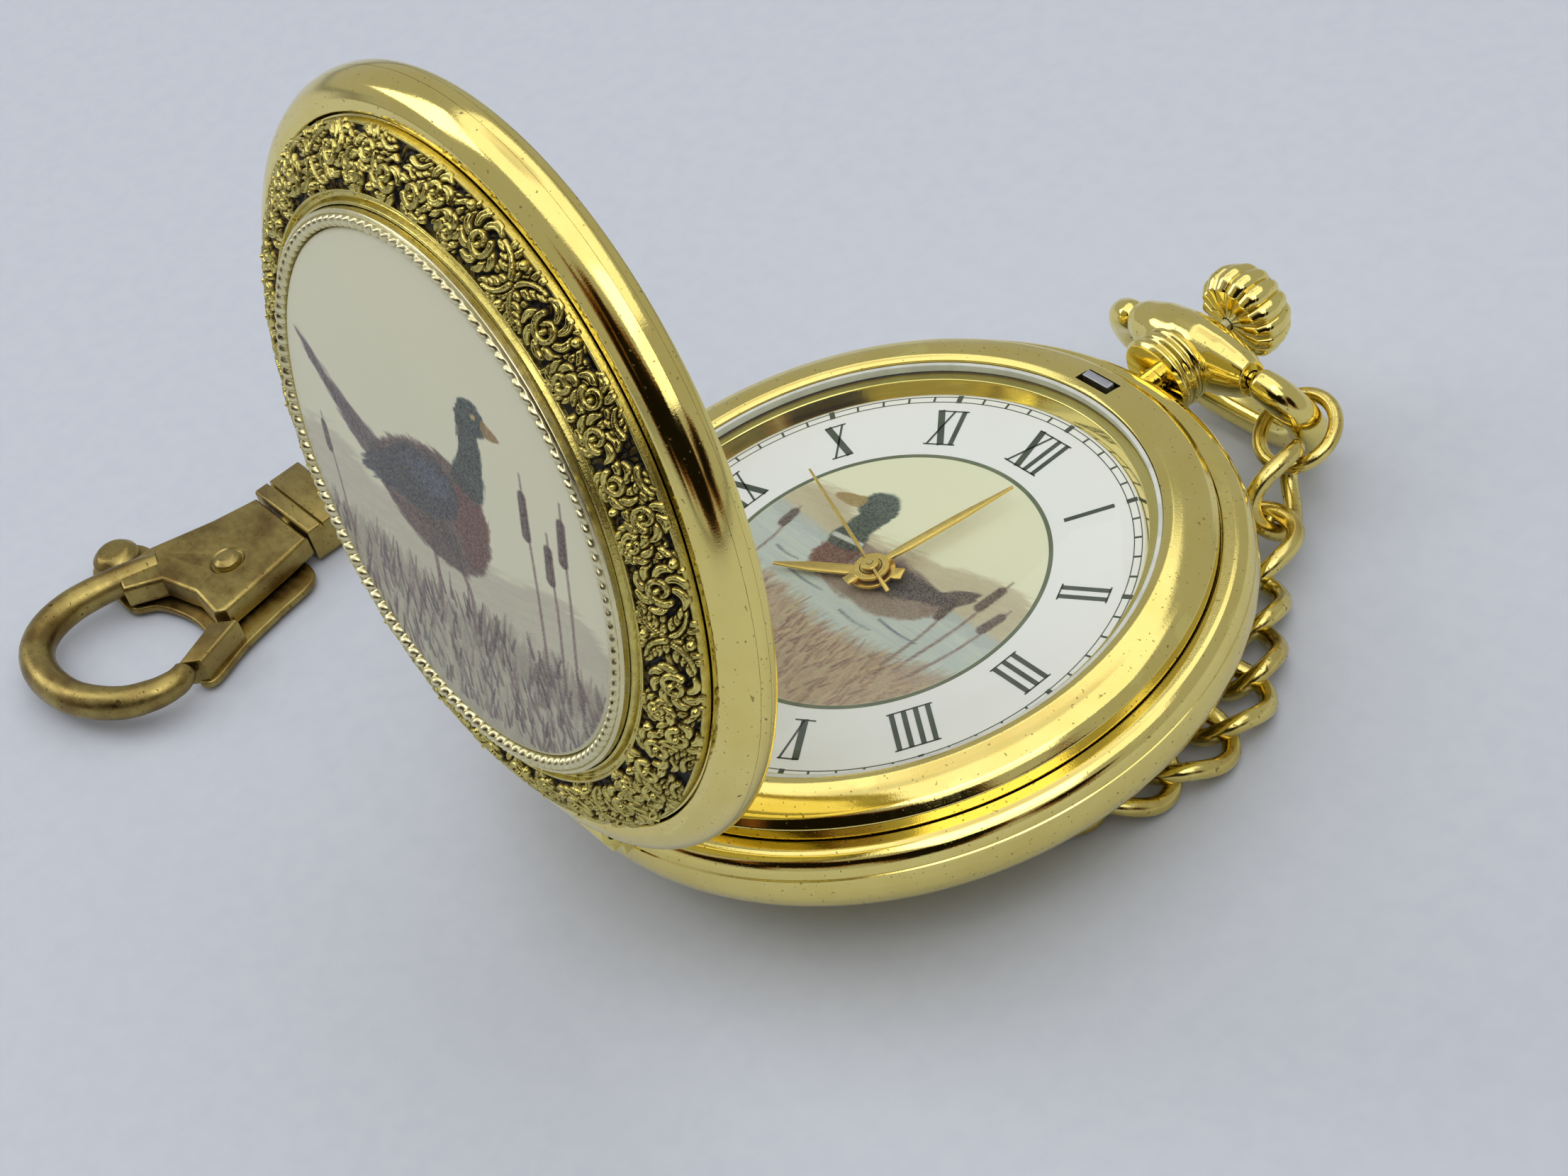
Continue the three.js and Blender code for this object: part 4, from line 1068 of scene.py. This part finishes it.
def dial_landscape(art):
    """A pond between low hills and a bank of dry grass, with bulrushes on the right."""
    hills = [(-13, 2.4), (-8, 3.8), (-3, 2.6), (3, 3.4), (8, 4.6), (13, 3.0), (13, 0.4), (-13, 0.4)]
    art.patch(hills, (0.76, 0.70, 0.58), 0.6, 0.5, 10, 0.2, 1.6, 0.9)
    water = [(-13, 0.8), (0, 0.6), (13, 0.8), (12, -4.2), (0, -5.0), (-12, -4.4)]
    art.patch(water, (0.72, 0.76, 0.76), 0.3, 0.7, 0, 0.16, 3.0, 0.9)
    bank = [(-13, -4.6), (-6, -4.0), (0, -4.8), (6, -4.2), (12, -3.4), (9, -12), (0, -13), (-9, -12)]
    art.patch(bank, (0.70, 0.60, 0.50), 0.9, 0.45, 80, 0.2, 1.0, 0.95)
    reeds(art, [(7.4, -4.6, 7.8, 5.0), (8.6, -4.4, 9.6, 3.2), (6.4, -4.8, 6.0, 2.2), (-8.6, -4.4, -9.4, 1.4)])
    blades = [(0.82, 0.72, 0.58), (0.52, 0.40, 0.36), (0.62, 0.48, 0.42), STRAW]
    art.tufts([(-11, -11), (11, -4.6)], blades, 700, 1.1, 0.1, 11, 0.1)


def dial_bird(art):
    """A duck that swims to the left, with ripples round it."""
    for x, y, reach in ((-7.8, -1.9, 2.2), (3.2, -2.3, 3.6), (-5.4, -2.8, 3.4), (0.4, -3.3, 3.0)):
        art.line([(x, y), (x + reach / 2, y - 0.12), (x + reach, y)], 0.2, (0.46, 0.50, 0.52), 0.5)
    tail = [(4.2, 1.0), (5.2, 2.2), (7.0, 3.0), (6.4, 1.2), (5.0, -0.4)]
    art.patch(tail, (0.34, 0.26, 0.26), 0.2, 0.5, 30, 0.2, 1.3)
    body = [(-5.4, -0.4), (-4.6, 1.3), (-1.6, 1.9), (2.0, 2.0), (4.8, 1.4), (5.8, 0.2), (4.2, -1.6),
            (0.4, -2.4), (-3.6, -2.0)]
    art.patch(body, (0.60, 0.52, 0.46), 0.25, 0.35, -10, 0.16, 1.0)
    breast = [(-5.4, -0.4), (-4.6, 1.3), (-2.8, 1.4), (-2.4, -0.4), (-3.2, -1.9), (-4.8, -1.6)]
    art.patch(breast, (0.46, 0.26, 0.20), 0.25, 0.4, 70, 0.16, 0.9)
    wing = [(-2.2, 1.0), (0.8, 1.8), (3.8, 1.6), (6.4, 1.5), (3.6, 0.0), (0.6, -0.9), (-1.6, -0.5)]
    art.patch(wing, (0.33, 0.27, 0.28), 0.3, 0.5, -8, 0.2, 1.4)
    art.feathers(6, (0.3, 1.4), (-0.1, -0.38), (4.0, 0.0), (-0.2, 0.16), 0.15, (0.20, 0.16, 0.19), 0.6, 0.9)
    neck = [(-5.3, 0.4), (-5.5, 2.4), (-5.1, 3.8), (-3.5, 3.8), (-3.3, 2.4), (-2.8, 0.9)]
    art.patch(neck, BOTTLE, 0.15, 0.3, 80)
    art.line([(-5.4, 1.1), (-3.1, 1.4)], 0.4, (0.86, 0.86, 0.82), 1.0, 0.1)
    head = [(-6.4, 4.2), (-5.8, 5.5), (-4.4, 5.7), (-3.3, 4.7), (-3.5, 3.5), (-5.4, 3.3)]
    art.patch(head, (0.23, 0.30, 0.28), 0.15, 0.3)
    beak = [(-6.2, 4.6), (-8.2, 3.9), (-8.0, 3.4), (-6.1, 3.6)]
    art.patch(beak, BEAK, 0.08, 0.2)


def dial_picture(points):
    """A white dial with a landscape inside a cream disc."""
    art = Picture(points, (0.965, 0.955, 0.96))
    art.cover((SCENE_R + 0.05 - np.hypot(art.x, art.y)) / 0.15 + 0.5, (0.93, 0.92, 0.80))
    art.paper = art.colour.copy()
    dial_landscape(art)
    dial_bird(art)
    art.deepen(1.2, SCENE_R)
    return art


def disc_grid(count, radius):
    """A square grid of points squeezed into a disc, so that its cells stay even."""
    a = np.linspace(-1, 1, count)
    u, v = np.meshgrid(a, a)
    wide = np.abs(u) > np.abs(v)
    r = np.where(wide, u, v)
    with np.errstate(divide="ignore", invalid="ignore"):
        phi = np.where(wide, math.pi / 4 * v / u, math.pi / 2 - math.pi / 4 * u / v)
    phi = np.where(r == 0, 0, phi)
    return np.c_[(r * np.cos(phi)).ravel(), (r * np.sin(phi)).ravel()] * radius


def printed_disc(count, radius, height, under, edge):
    """A closed disc: a fine top grid whose height is a function of radius, a rolled edge and a flat back."""
    flat = disc_grid(count, radius)
    top = np.c_[flat, height(np.hypot(*flat.T))]
    index = np.arange(count * count).reshape(count, count)
    faces = np.stack([index[:-1, :-1], index[:-1, 1:], index[1:, 1:], index[1:, :-1]], -1).reshape(-1, 4).tolist()
    rim = np.r_[index[0, :-1], index[:-1, -1], index[-1, :0:-1], index[:0:-1, 0]]
    loops = [rim]
    points = [top]
    total = len(top)
    for out, down in edge:
        scale = (radius + out) / radius
        points.append(np.c_[flat[rim] * scale, top[rim, 2] - down])
        loops.append(np.arange(total, total + len(rim)))
        total += len(rim)
    points.append(np.c_[flat[rim] * (radius + edge[-1][0]) / radius, np.full(len(rim), under)])
    loops.append(np.arange(total, total + len(rim)))
    for a, b in zip(loops[:-1], loops[1:]):
        faces += np.stack([a, b, np.roll(b, -1), np.roll(a, -1)], -1).tolist()
    faces.append(loops[-1].tolist())
    return np.vstack(points), faces


def add_art(made, art, total):
    """Store a picture on a piece's first points, and plain paper on the rest of them."""
    extra = total - len(art.x)
    for name, colours in (("art", art.colour), ("paper", art.paper)):
        padded = np.vstack([colours, np.tile(art.paper[0], (extra, 1))])
        paint(made, name, linear(padded))


def picture_plate():
    dome = lambda r: 13.6 - 0.0021 * r ** 2 - 0.0000018 * r ** 4
    count = 300
    shape = printed_disc(count, 15.9, dome, 12.3, [(0.15, 0.04), (0.26, 0.14), (0.28, 0.3)])
    flat = shape[0][:count * count, :2].copy()
    made = piece("picture_plate", opened(shape), "lid", plate_print, crease=50)
    add_art(made, plate_picture(flat), len(shape[0]))


def dial():
    count = 300
    hole_r = 1.15
    level = lambda r: np.full_like(r, 7.6)
    shape = printed_disc(count, 18.27, level, 7.2, [(0.03, 0.03)])
    flat = shape[0][:count * count, :2].copy()
    made = piece("dial", shape, "case", dial_print, crease=50)
    add_art(made, dial_picture(flat), len(shape[0]))


picture_plate()
dial()


# ---------------------------------------------------------------- dial marks
MARK_Z = 7.6
MARK_THICK = 0.03
NUMERAL_IN, NUMERAL_OUT = 12.45, 15.75
BAR = 0.33


def prism(corners):
    """A thin solid of print over the dial, from its corners."""
    flat = np.asarray(corners, float)
    n = len(flat)
    points = np.vstack([np.c_[flat, np.full(n, MARK_Z)], np.c_[flat, np.full(n, MARK_Z + MARK_THICK)]])
    faces = [list(range(n))[::-1], list(range(n, 2 * n))]
    faces += [[k, (k + 1) % n, n + (k + 1) % n, n + k] for k in range(n)]
    return points, faces


def stroke_mark(start, end, width):
    start, end = np.array(start, float), np.array(end, float)
    side = unit(np.array([-(end - start)[1], (end - start)[0]])) * width / 2
    return prism([start - side, end - side, end + side, start + side])


def numeral(letters, minute):
    """Roman strokes drawn upright, then turned out to their place on the dial."""
    widths = {"I": 0.76, "V": 1.55, "X": 1.6}
    total = sum(widths[c] for c in letters)
    low, high = NUMERAL_IN, NUMERAL_OUT
    x = -total / 2
    marks = []
    for c in letters:
        left, right, middle = x, x + widths[c], x + widths[c] / 2
        if c == "I":
            marks.append(stroke_mark((middle, low), (middle, high), BAR))
        if c == "V":
            marks.append(stroke_mark((middle + 0.05, low), (left + 0.25, high), 0.46))
            marks.append(stroke_mark((middle + 0.05, low), (right - 0.2, high), 0.14))
        if c == "X":
            marks.append(stroke_mark((right - 0.3, low), (left + 0.3, high), 0.46))
            marks.append(stroke_mark((left + 0.3, low), (right - 0.3, high), 0.14))
        x = right
    if letters != "I":
        for level in (low + 0.05, high - 0.05):
            marks.append(stroke_mark((-total / 2 + 0.08, level), (total / 2 - 0.08, level), 0.1))
    return turned_to(together(*marks), Z, -6 * minute)


def dial_marks():
    names = ["XII", "I", "II", "III", "IIII", "V", "VI", "VII", "VIII", "IX", "X", "XI"]
    numerals = together(*[numeral(letters, 5 * i) for i, letters in enumerate(names)])
    piece("dial_numerals", numerals, "case", numeral_ink, [])
    ticks = []
    for minute in range(60):
        wide = 0.36 if minute % 5 == 0 else 0.14
        inner, outer = (16.55, 17.25) if minute % 5 == 0 else (16.62, 17.1)
        ticks.append(turned_to(stroke_mark((0, inner), (0, outer), wide), Z, -6 * minute))
    ring = lambda r0, r1: lathe([(r0, MARK_Z), (r1, MARK_Z), (r1, MARK_Z + 0.02), (r0, MARK_Z + 0.02)])
    piece("dial_minute_track", together(*ticks, ring(16.58, 16.64), ring(17.08, 17.14)), "case", numeral_ink,
          [])
    piece("dial_inner_ring", ring(11.2, 11.48), "case", ring_ink, [])


dial_marks()


# ---------------------------------------------------------------- hands
def hand(length, tail, width, hub, hole, z0, z1, clockwise):
    """A slim leaf with a short tail and a turned hub."""
    w = width / 2
    half = [(0.08, length), (w * 0.9, length * 0.62), (w, length * 0.25), (w * 0.62, 0.9), (w * 0.62, -0.4),
            (w * 1.15, -tail * 0.8), (w * 1.1, -tail)]
    outline = half + [(-x, y) for x, y in reversed(half)]
    blade = slab(rounded(outline, 0.07), z0, z1, 0.04, 2)
    boss = lathe(rounded([(0, z0 - 0.01), (hub, z0 - 0.01), (hub, z1 + 0.02), (0, z1 + 0.02)], 0.06), 64)
    cut = lathe([(0, z0 - 1), (hole, z0 - 1), (hole, z1 + 1), (0, z1 + 1)], 48)
    return turned_to(combined(blade, ("UNION", boss), ("DIFFERENCE", cut)), Z, -clockwise)


HANDS = {
    "hour_hand": ("hour", hand(7.0, 2.1, 0.85, 1.5, 1.06, 8.0, 8.2, 240.9)),
    "minute_hand": ("minute", hand(10.6, 1.9, 0.7, 1.2, 0.76, 8.42, 8.6, 10.8)),
    "second_hand": ("seconds", hand(10.9, 3.1, 0.26, 0.6, 0.24, 8.8, 8.94, 288)),
}
for name, (body, shape) in HANDS.items():
    piece(name, shape, body, hand_gold)


# ---------------------------------------------------------------- jump ring and chain
LINK_HALF, LINK_SIDE, LINK_WIRE, LINK_TWIST, LINK_PITCH = 2.85, 2.4, 0.6, 0.215, 4.4
CHAIN_Z = pivot("chain_hinge_01")[2]
JUMP_RADIUS, JUMP_WIRE, JUMP_SLACK = 2.7, 0.5, 0.75


def jump_ring():
    along = np.array([0, math.cos(math.radians(BOW_DROP)), math.sin(math.radians(BOW_DROP))])
    normal = np.cross(X, along)
    centre = pivot("jump_ring_swivel") - normal * JUMP_SLACK
    t = np.arange(72)[:, None] * TURN / 72
    path = centre + JUMP_RADIUS * (X * np.cos(t) + normal * np.sin(t))
    return swept(path, JUMP_WIRE, along, 20, True)


def curb_link():
    t = np.arange(56) * TURN / 56
    x, y = LINK_HALF * np.cos(t), LINK_SIDE * np.sin(t)
    return swept(np.c_[x, y, LINK_TWIST * x * y], LINK_WIRE, Z, 16, True)


def set_in(shape, along, side, centre):
    points, faces = shape
    axes = np.array([along, side, np.cross(along, side)])
    return np.asarray(points) @ axes + centre, faces


def chain_section(start, end, rolls, lead):
    """Links in a row from one joint to the next. rolls turns each link about the chain."""
    along = unit(end - start)
    across = unit(np.cross(Z, along))
    up = np.cross(along, across)
    links = []
    for i, roll in enumerate(rolls):
        a = math.radians(roll)
        side = across * math.cos(a) + up * math.sin(a)
        centre = start + along * (lead + i * LINK_PITCH)
        links.append(set_in(curb_link(), along, side, centre))
        if i:
            bar = turned_to(rod(0.35, LINK_HALF - LINK_PITCH, -LINK_HALF, 24), Y, 90)
            links.append(set_in(bar, along, side, centre))
    return together(*links)


SECTIONS = [name for name in frame["bodies"] if name.startswith("chain_")]
for number, name in enumerate(sorted(SECTIONS)):
    end = pivot(f"chain_hinge_{number + 1:02d}")
    if number == 0:
        start = pivot("chain_swing")
        rolls = (90, 22)
        lead = np.linalg.norm(end - start) - 1.5 * LINK_PITCH
    else:
        start = pivot(f"chain_hinge_{number:02d}")
        rolls = [0] * round(np.linalg.norm(end - start) / LINK_PITCH)
        lead = LINK_PITCH / 2
    piece(name, chain_section(start, end, rolls, lead), name, chain_gold)
piece("jump_ring", jump_ring(), "jump_ring", chain_gold)


# ---------------------------------------------------------------- swivel and snap hook
EYE_END = pivot(f"chain_hinge_{len(SECTIONS):02d}")
HOOK_X = EYE_END[0]
HOOK_Z = pivot("clasp_swivel")[2]
COLLAR_END = -18.3
RIVET = pivot("clasp_trigger_press")[:2]


def swivel_eye():
    """The last link, its box-shaped collar and the pin that turns in the hook."""
    top = EYE_END[1] - LINK_PITCH / 2 - LINK_HALF
    link = set_in(curb_link(), -Y, X, np.array([HOOK_X, EYE_END[1] - LINK_PITCH / 2, CHAIN_Z]))
    collar = block([HOOK_X - 3.9, COLLAR_END, -2.7], [HOOK_X + 3.7, top + 0.2, 0.1], 0.3)
    groove = block([HOOK_X - 4.2, COLLAR_END + 1.1, -0.35], [HOOK_X + 4.2, COLLAR_END + 1.35, 0.5], 0.04)
    pin = along_y(rod(0.6, COLLAR_END - 2.0, COLLAR_END + 1, edge=0.1), [HOOK_X, 0, HOOK_Z])
    return combined(collar, ("DIFFERENCE", groove), ("UNION", link), ("UNION", pin))


HOOK_ROWS = [
    (-54.4, -27.0, 1.05), (-55.2, -28.9, 1.15), (-56.0, -31.2, 1.18), (-56.4, -33.8, 1.24), (-55.8, -36.3, 1.28),
    (-54.0, -38.1, 1.3), (-51.0, -38.9, 1.3), (-47.4, -38.5, 1.26), (-44.2, -36.7, 1.2), (-42.7, -34.6, 1.12),
    (-42.3, -33.0, 1.02), (-42.45, -32.25, 0.95), (-42.75, -31.78, 0.85),
]


def clasp_body():
    outline = rounded([
        (-53.5, -18.5, 0.4), (-46.4, -18.5, 0.4), (-45.8, -21.0, 4), (-45.3, -24.0, 6), (-44.9, -26.6, 0.6),
        (-45.4, -27.4, 0.45), (-48.6, -27.1, 4), (-52.0, -28.0, 3), (-53.6, -30.5, 0.8), (-56.1, -29.8, 0.9),
        (-56.0, -26.6, 3), (-54.4, -22.0, 8),
    ])
    rows = through(HOOK_ROWS, 8)
    wire = swept(np.c_[rows[:, :2], np.full(len(rows), -0.86)], rows[:, 2], Z, 28)
    bore = lathe([(0, -4), (0.62, -4), (0.62, 1), (0, 1)], 40)
    dish = lathe(rounded([(0, -0.3), (1.2, -0.3), (1.5, 0.0), (1.5, 1), (0, 1)], 0.1), 48)
    pin_way = along_y(lathe([(0, -20.6), (0.67, -20.6), (0.67, -16), (0, -16)], 40), [HOOK_X, 0, HOOK_Z])
    return combined(slab(outline, -2.0, -0.1, 0.4, 6), ("UNION", wire), ("DIFFERENCE", pin_way),
                    ("DIFFERENCE", shifted(dish, [*RIVET, 0])), ("DIFFERENCE", shifted(bore, [*RIVET, 0])))


def clasp_trigger():
    """A lever under the body: a thumb tab on one side, on the other a strip that ends in the gate."""
    outline = through([
        (-52.0, -20.6), (-47.0, -19.3), (-44.5, -20.0), (-43.7, -23.5), (-42.9, -27.0), (-41.7, -30.3),
        (-42.7, -31.2), (-44.2, -29.6), (-45.8, -28.4), (-48.8, -28.1), (-52.2, -29.0), (-53.8, -30.5),
        (-56.4, -30.6), (-59.6, -30.6), (-61.3, -29.2), (-61.1, -27.3), (-59.4, -26.2), (-57.0, -25.6),
        (-54.4, -22.8),
    ], 8, True)
    gate = slab(rounded([(-45.0, -28.0), (-43.4, -26.6), (-41.95, -30.6), (-43.3, -31.85)], 0.35), -2.5, -0.3, 0.3)
    knob = shifted(lathe(rounded([(0, -2.5), (1.7, -2.5), (1.8, -1.7, 0.5), (1.2, -1.1, 0.8), (0, -1.0)]), 48),
                   [-59.55, -28.4, 0])
    bore = lathe([(0, -4), (0.62, -4), (0.62, -1), (0, -1)], 40)
    return combined(slab(outline, -2.8, -2.2, 0.18), ("UNION", gate), ("UNION", knob),
                    ("DIFFERENCE", shifted(bore, [*RIVET, 0])))


def clasp_rivet():
    """A domed head sunk in its dish."""
    shape = lathe(rounded([(0, -2.83), (0.55, -2.83), (0.55, -0.28), (1.05, -0.28, 0.02), (1.0, 0.05, 0.25),
                           (0.6, 0.3, 0.5), (0, 0.36)]), 64)
    return shifted(shape, [*RIVET, 0])


piece("swivel_eye", swivel_eye(), "swivel_eye", bronze)
piece("clasp_body", clasp_body(), "clasp", bronze)
piece("clasp_trigger", clasp_trigger(), "clasp_trigger", bronze)
piece("clasp_rivet", clasp_rivet(), "clasp", bronze)


# ---------------------------------------------------------------- pieces kept as the CAD has them
KEPT = {
    brass: ["train_bridge", "battery_clip", "intermediate_wheel", "seconds_wheel", "third_wheel", "centre_wheel",
            "cannon_pinion", "minute_wheel", "hour_wheel"],
    steel: ["stem", "release_collar", "lid_spring", "battery", "stator", "rotor"],
    copper: ["coil"],
    board: ["circuit_board"],
    white_plastic: ["movement_holder"],
    plate_plastic: ["mainplate"],
}
for look, names in KEPT.items():
    for name in names:
        materials = frame["nodes"][name].data.materials
        materials.clear()
        materials.append(look)


# ---------------------------------------------------------------- floor, lights and camera
def floor():
    half = 3.0
    mesh = bpy.data.meshes.new("floor")
    z = FLOOR_Z * MM
    mesh.from_pydata([(-half, -half, z), (half, -half, z), (half, half, z), (-half, half, z)], [], [(0, 1, 2, 3)])
    made = bpy.data.objects.new("floor", mesh)
    bpy.context.scene.collection.objects.link(made)
    mesh.materials.append(paint_look("floor_paper", (0.80, 0.82, 0.86), (0.785, 0.805, 0.85), 0.7, 0.002, 0.5))


def lamp(name, place, size, power, aim=(0, 0, 0)):
    """A softbox that faces the watch."""
    light = bpy.data.lights.new(name, "AREA")
    light.shape = "RECTANGLE"
    light.size, light.size_y = size
    light.energy = power
    made = bpy.data.objects.new(name, light)
    made.location = place
    made.rotation_euler = (Vector(aim) - Vector(place)).to_track_quat("-Z", "Y").to_euler()
    bpy.context.scene.collection.objects.link(made)


# Dark things in the room, which the gold mirrors: compass direction, height and half width in degrees.
FIGURES = [(-95, 13, 17), (-66, 27, 20), (-34, 19, 19), (4, 10, 12), (148, 66, 9)]


def facing(compass, height):
    c, h = math.radians(compass), math.radians(height)
    return Vector((math.cos(c) * math.cos(h), math.sin(c) * math.cos(h), math.sin(h)))


def world():
    """A white room. The dark figures in it, with warm edges, give the gold its contrast."""
    s = Shader("studio", bpy.data.worlds)
    bpy.context.scene.world = s.owner
    way = s.node("TexCoord").outputs["Generated"]
    uneven = s.ramp(s.node("TexNoise", {"Vector": way, "Scale": 2.2}).outputs["Fac"], 0.3, 0.7, -0.03, 0.03)
    warm, dark = 0.0, 0.0
    for compass, height, half in FIGURES:
        sockets = {0: way, 1: facing(compass, height)}
        nearness = s.math("ADD", s.node("VectorMath", sockets, operation="DOT_PRODUCT").outputs["Value"], uneven)
        rim, core = [math.cos(math.radians(half + wider)) for wider in (4, 0)]
        warm = s.math("MAXIMUM", warm, s.ramp(nearness, rim, rim + 0.02))
        dark = s.math("MAXIMUM", dark, s.ramp(nearness, core, core + 0.02))
    room = s.mix(warm, rgba((0.89, 0.895, 0.90)), rgba((0.60, 0.40, 0.22)))
    room = s.mix(dark, room, rgba((0.12, 0.10, 0.06)))
    sky = s.node("Background", {"Color": room, "Strength": 0.54}).outputs[0]
    s.node("OutputWorld", {"Surface": sky})


CAMERA_AT = Vector((0.14578, -0.07628, 0.15154))
CAMERA_RIGHT = Vector((0.60533655, 0.75475482, -0.25280985))
CAMERA_UP = Vector((-0.41096725, 0.56836205, 0.71279064))
CAMERA_LENS = 79.5


def camera():
    data = bpy.data.cameras.new("camera")
    data.lens = CAMERA_LENS
    data.sensor_width = 36
    data.sensor_fit = "HORIZONTAL"
    data.clip_start, data.clip_end = 0.005, 20
    made = bpy.data.objects.new("camera", data)
    back = CAMERA_RIGHT.cross(CAMERA_UP)
    turn = Matrix((CAMERA_RIGHT, CAMERA_UP, back)).transposed().to_4x4()
    made.matrix_world = Matrix.Translation(CAMERA_AT) @ turn
    bpy.context.scene.collection.objects.link(made)
    bpy.context.scene.camera = made


floor()
world()
lamp("softbox_top", (0.0, 0.05, 0.6), (0.9, 0.8), 2.0)
lamp("softbox_front", (0.45, -0.10, 0.6), (0.5, 0.5), 1.1)
lamp("softbox_left", (-0.5, -0.3, 0.4), (0.3, 0.4), 0.8)
camera()
bpy.context.scene.view_settings.view_transform = "Standard"

bpy.context.view_layer.update()
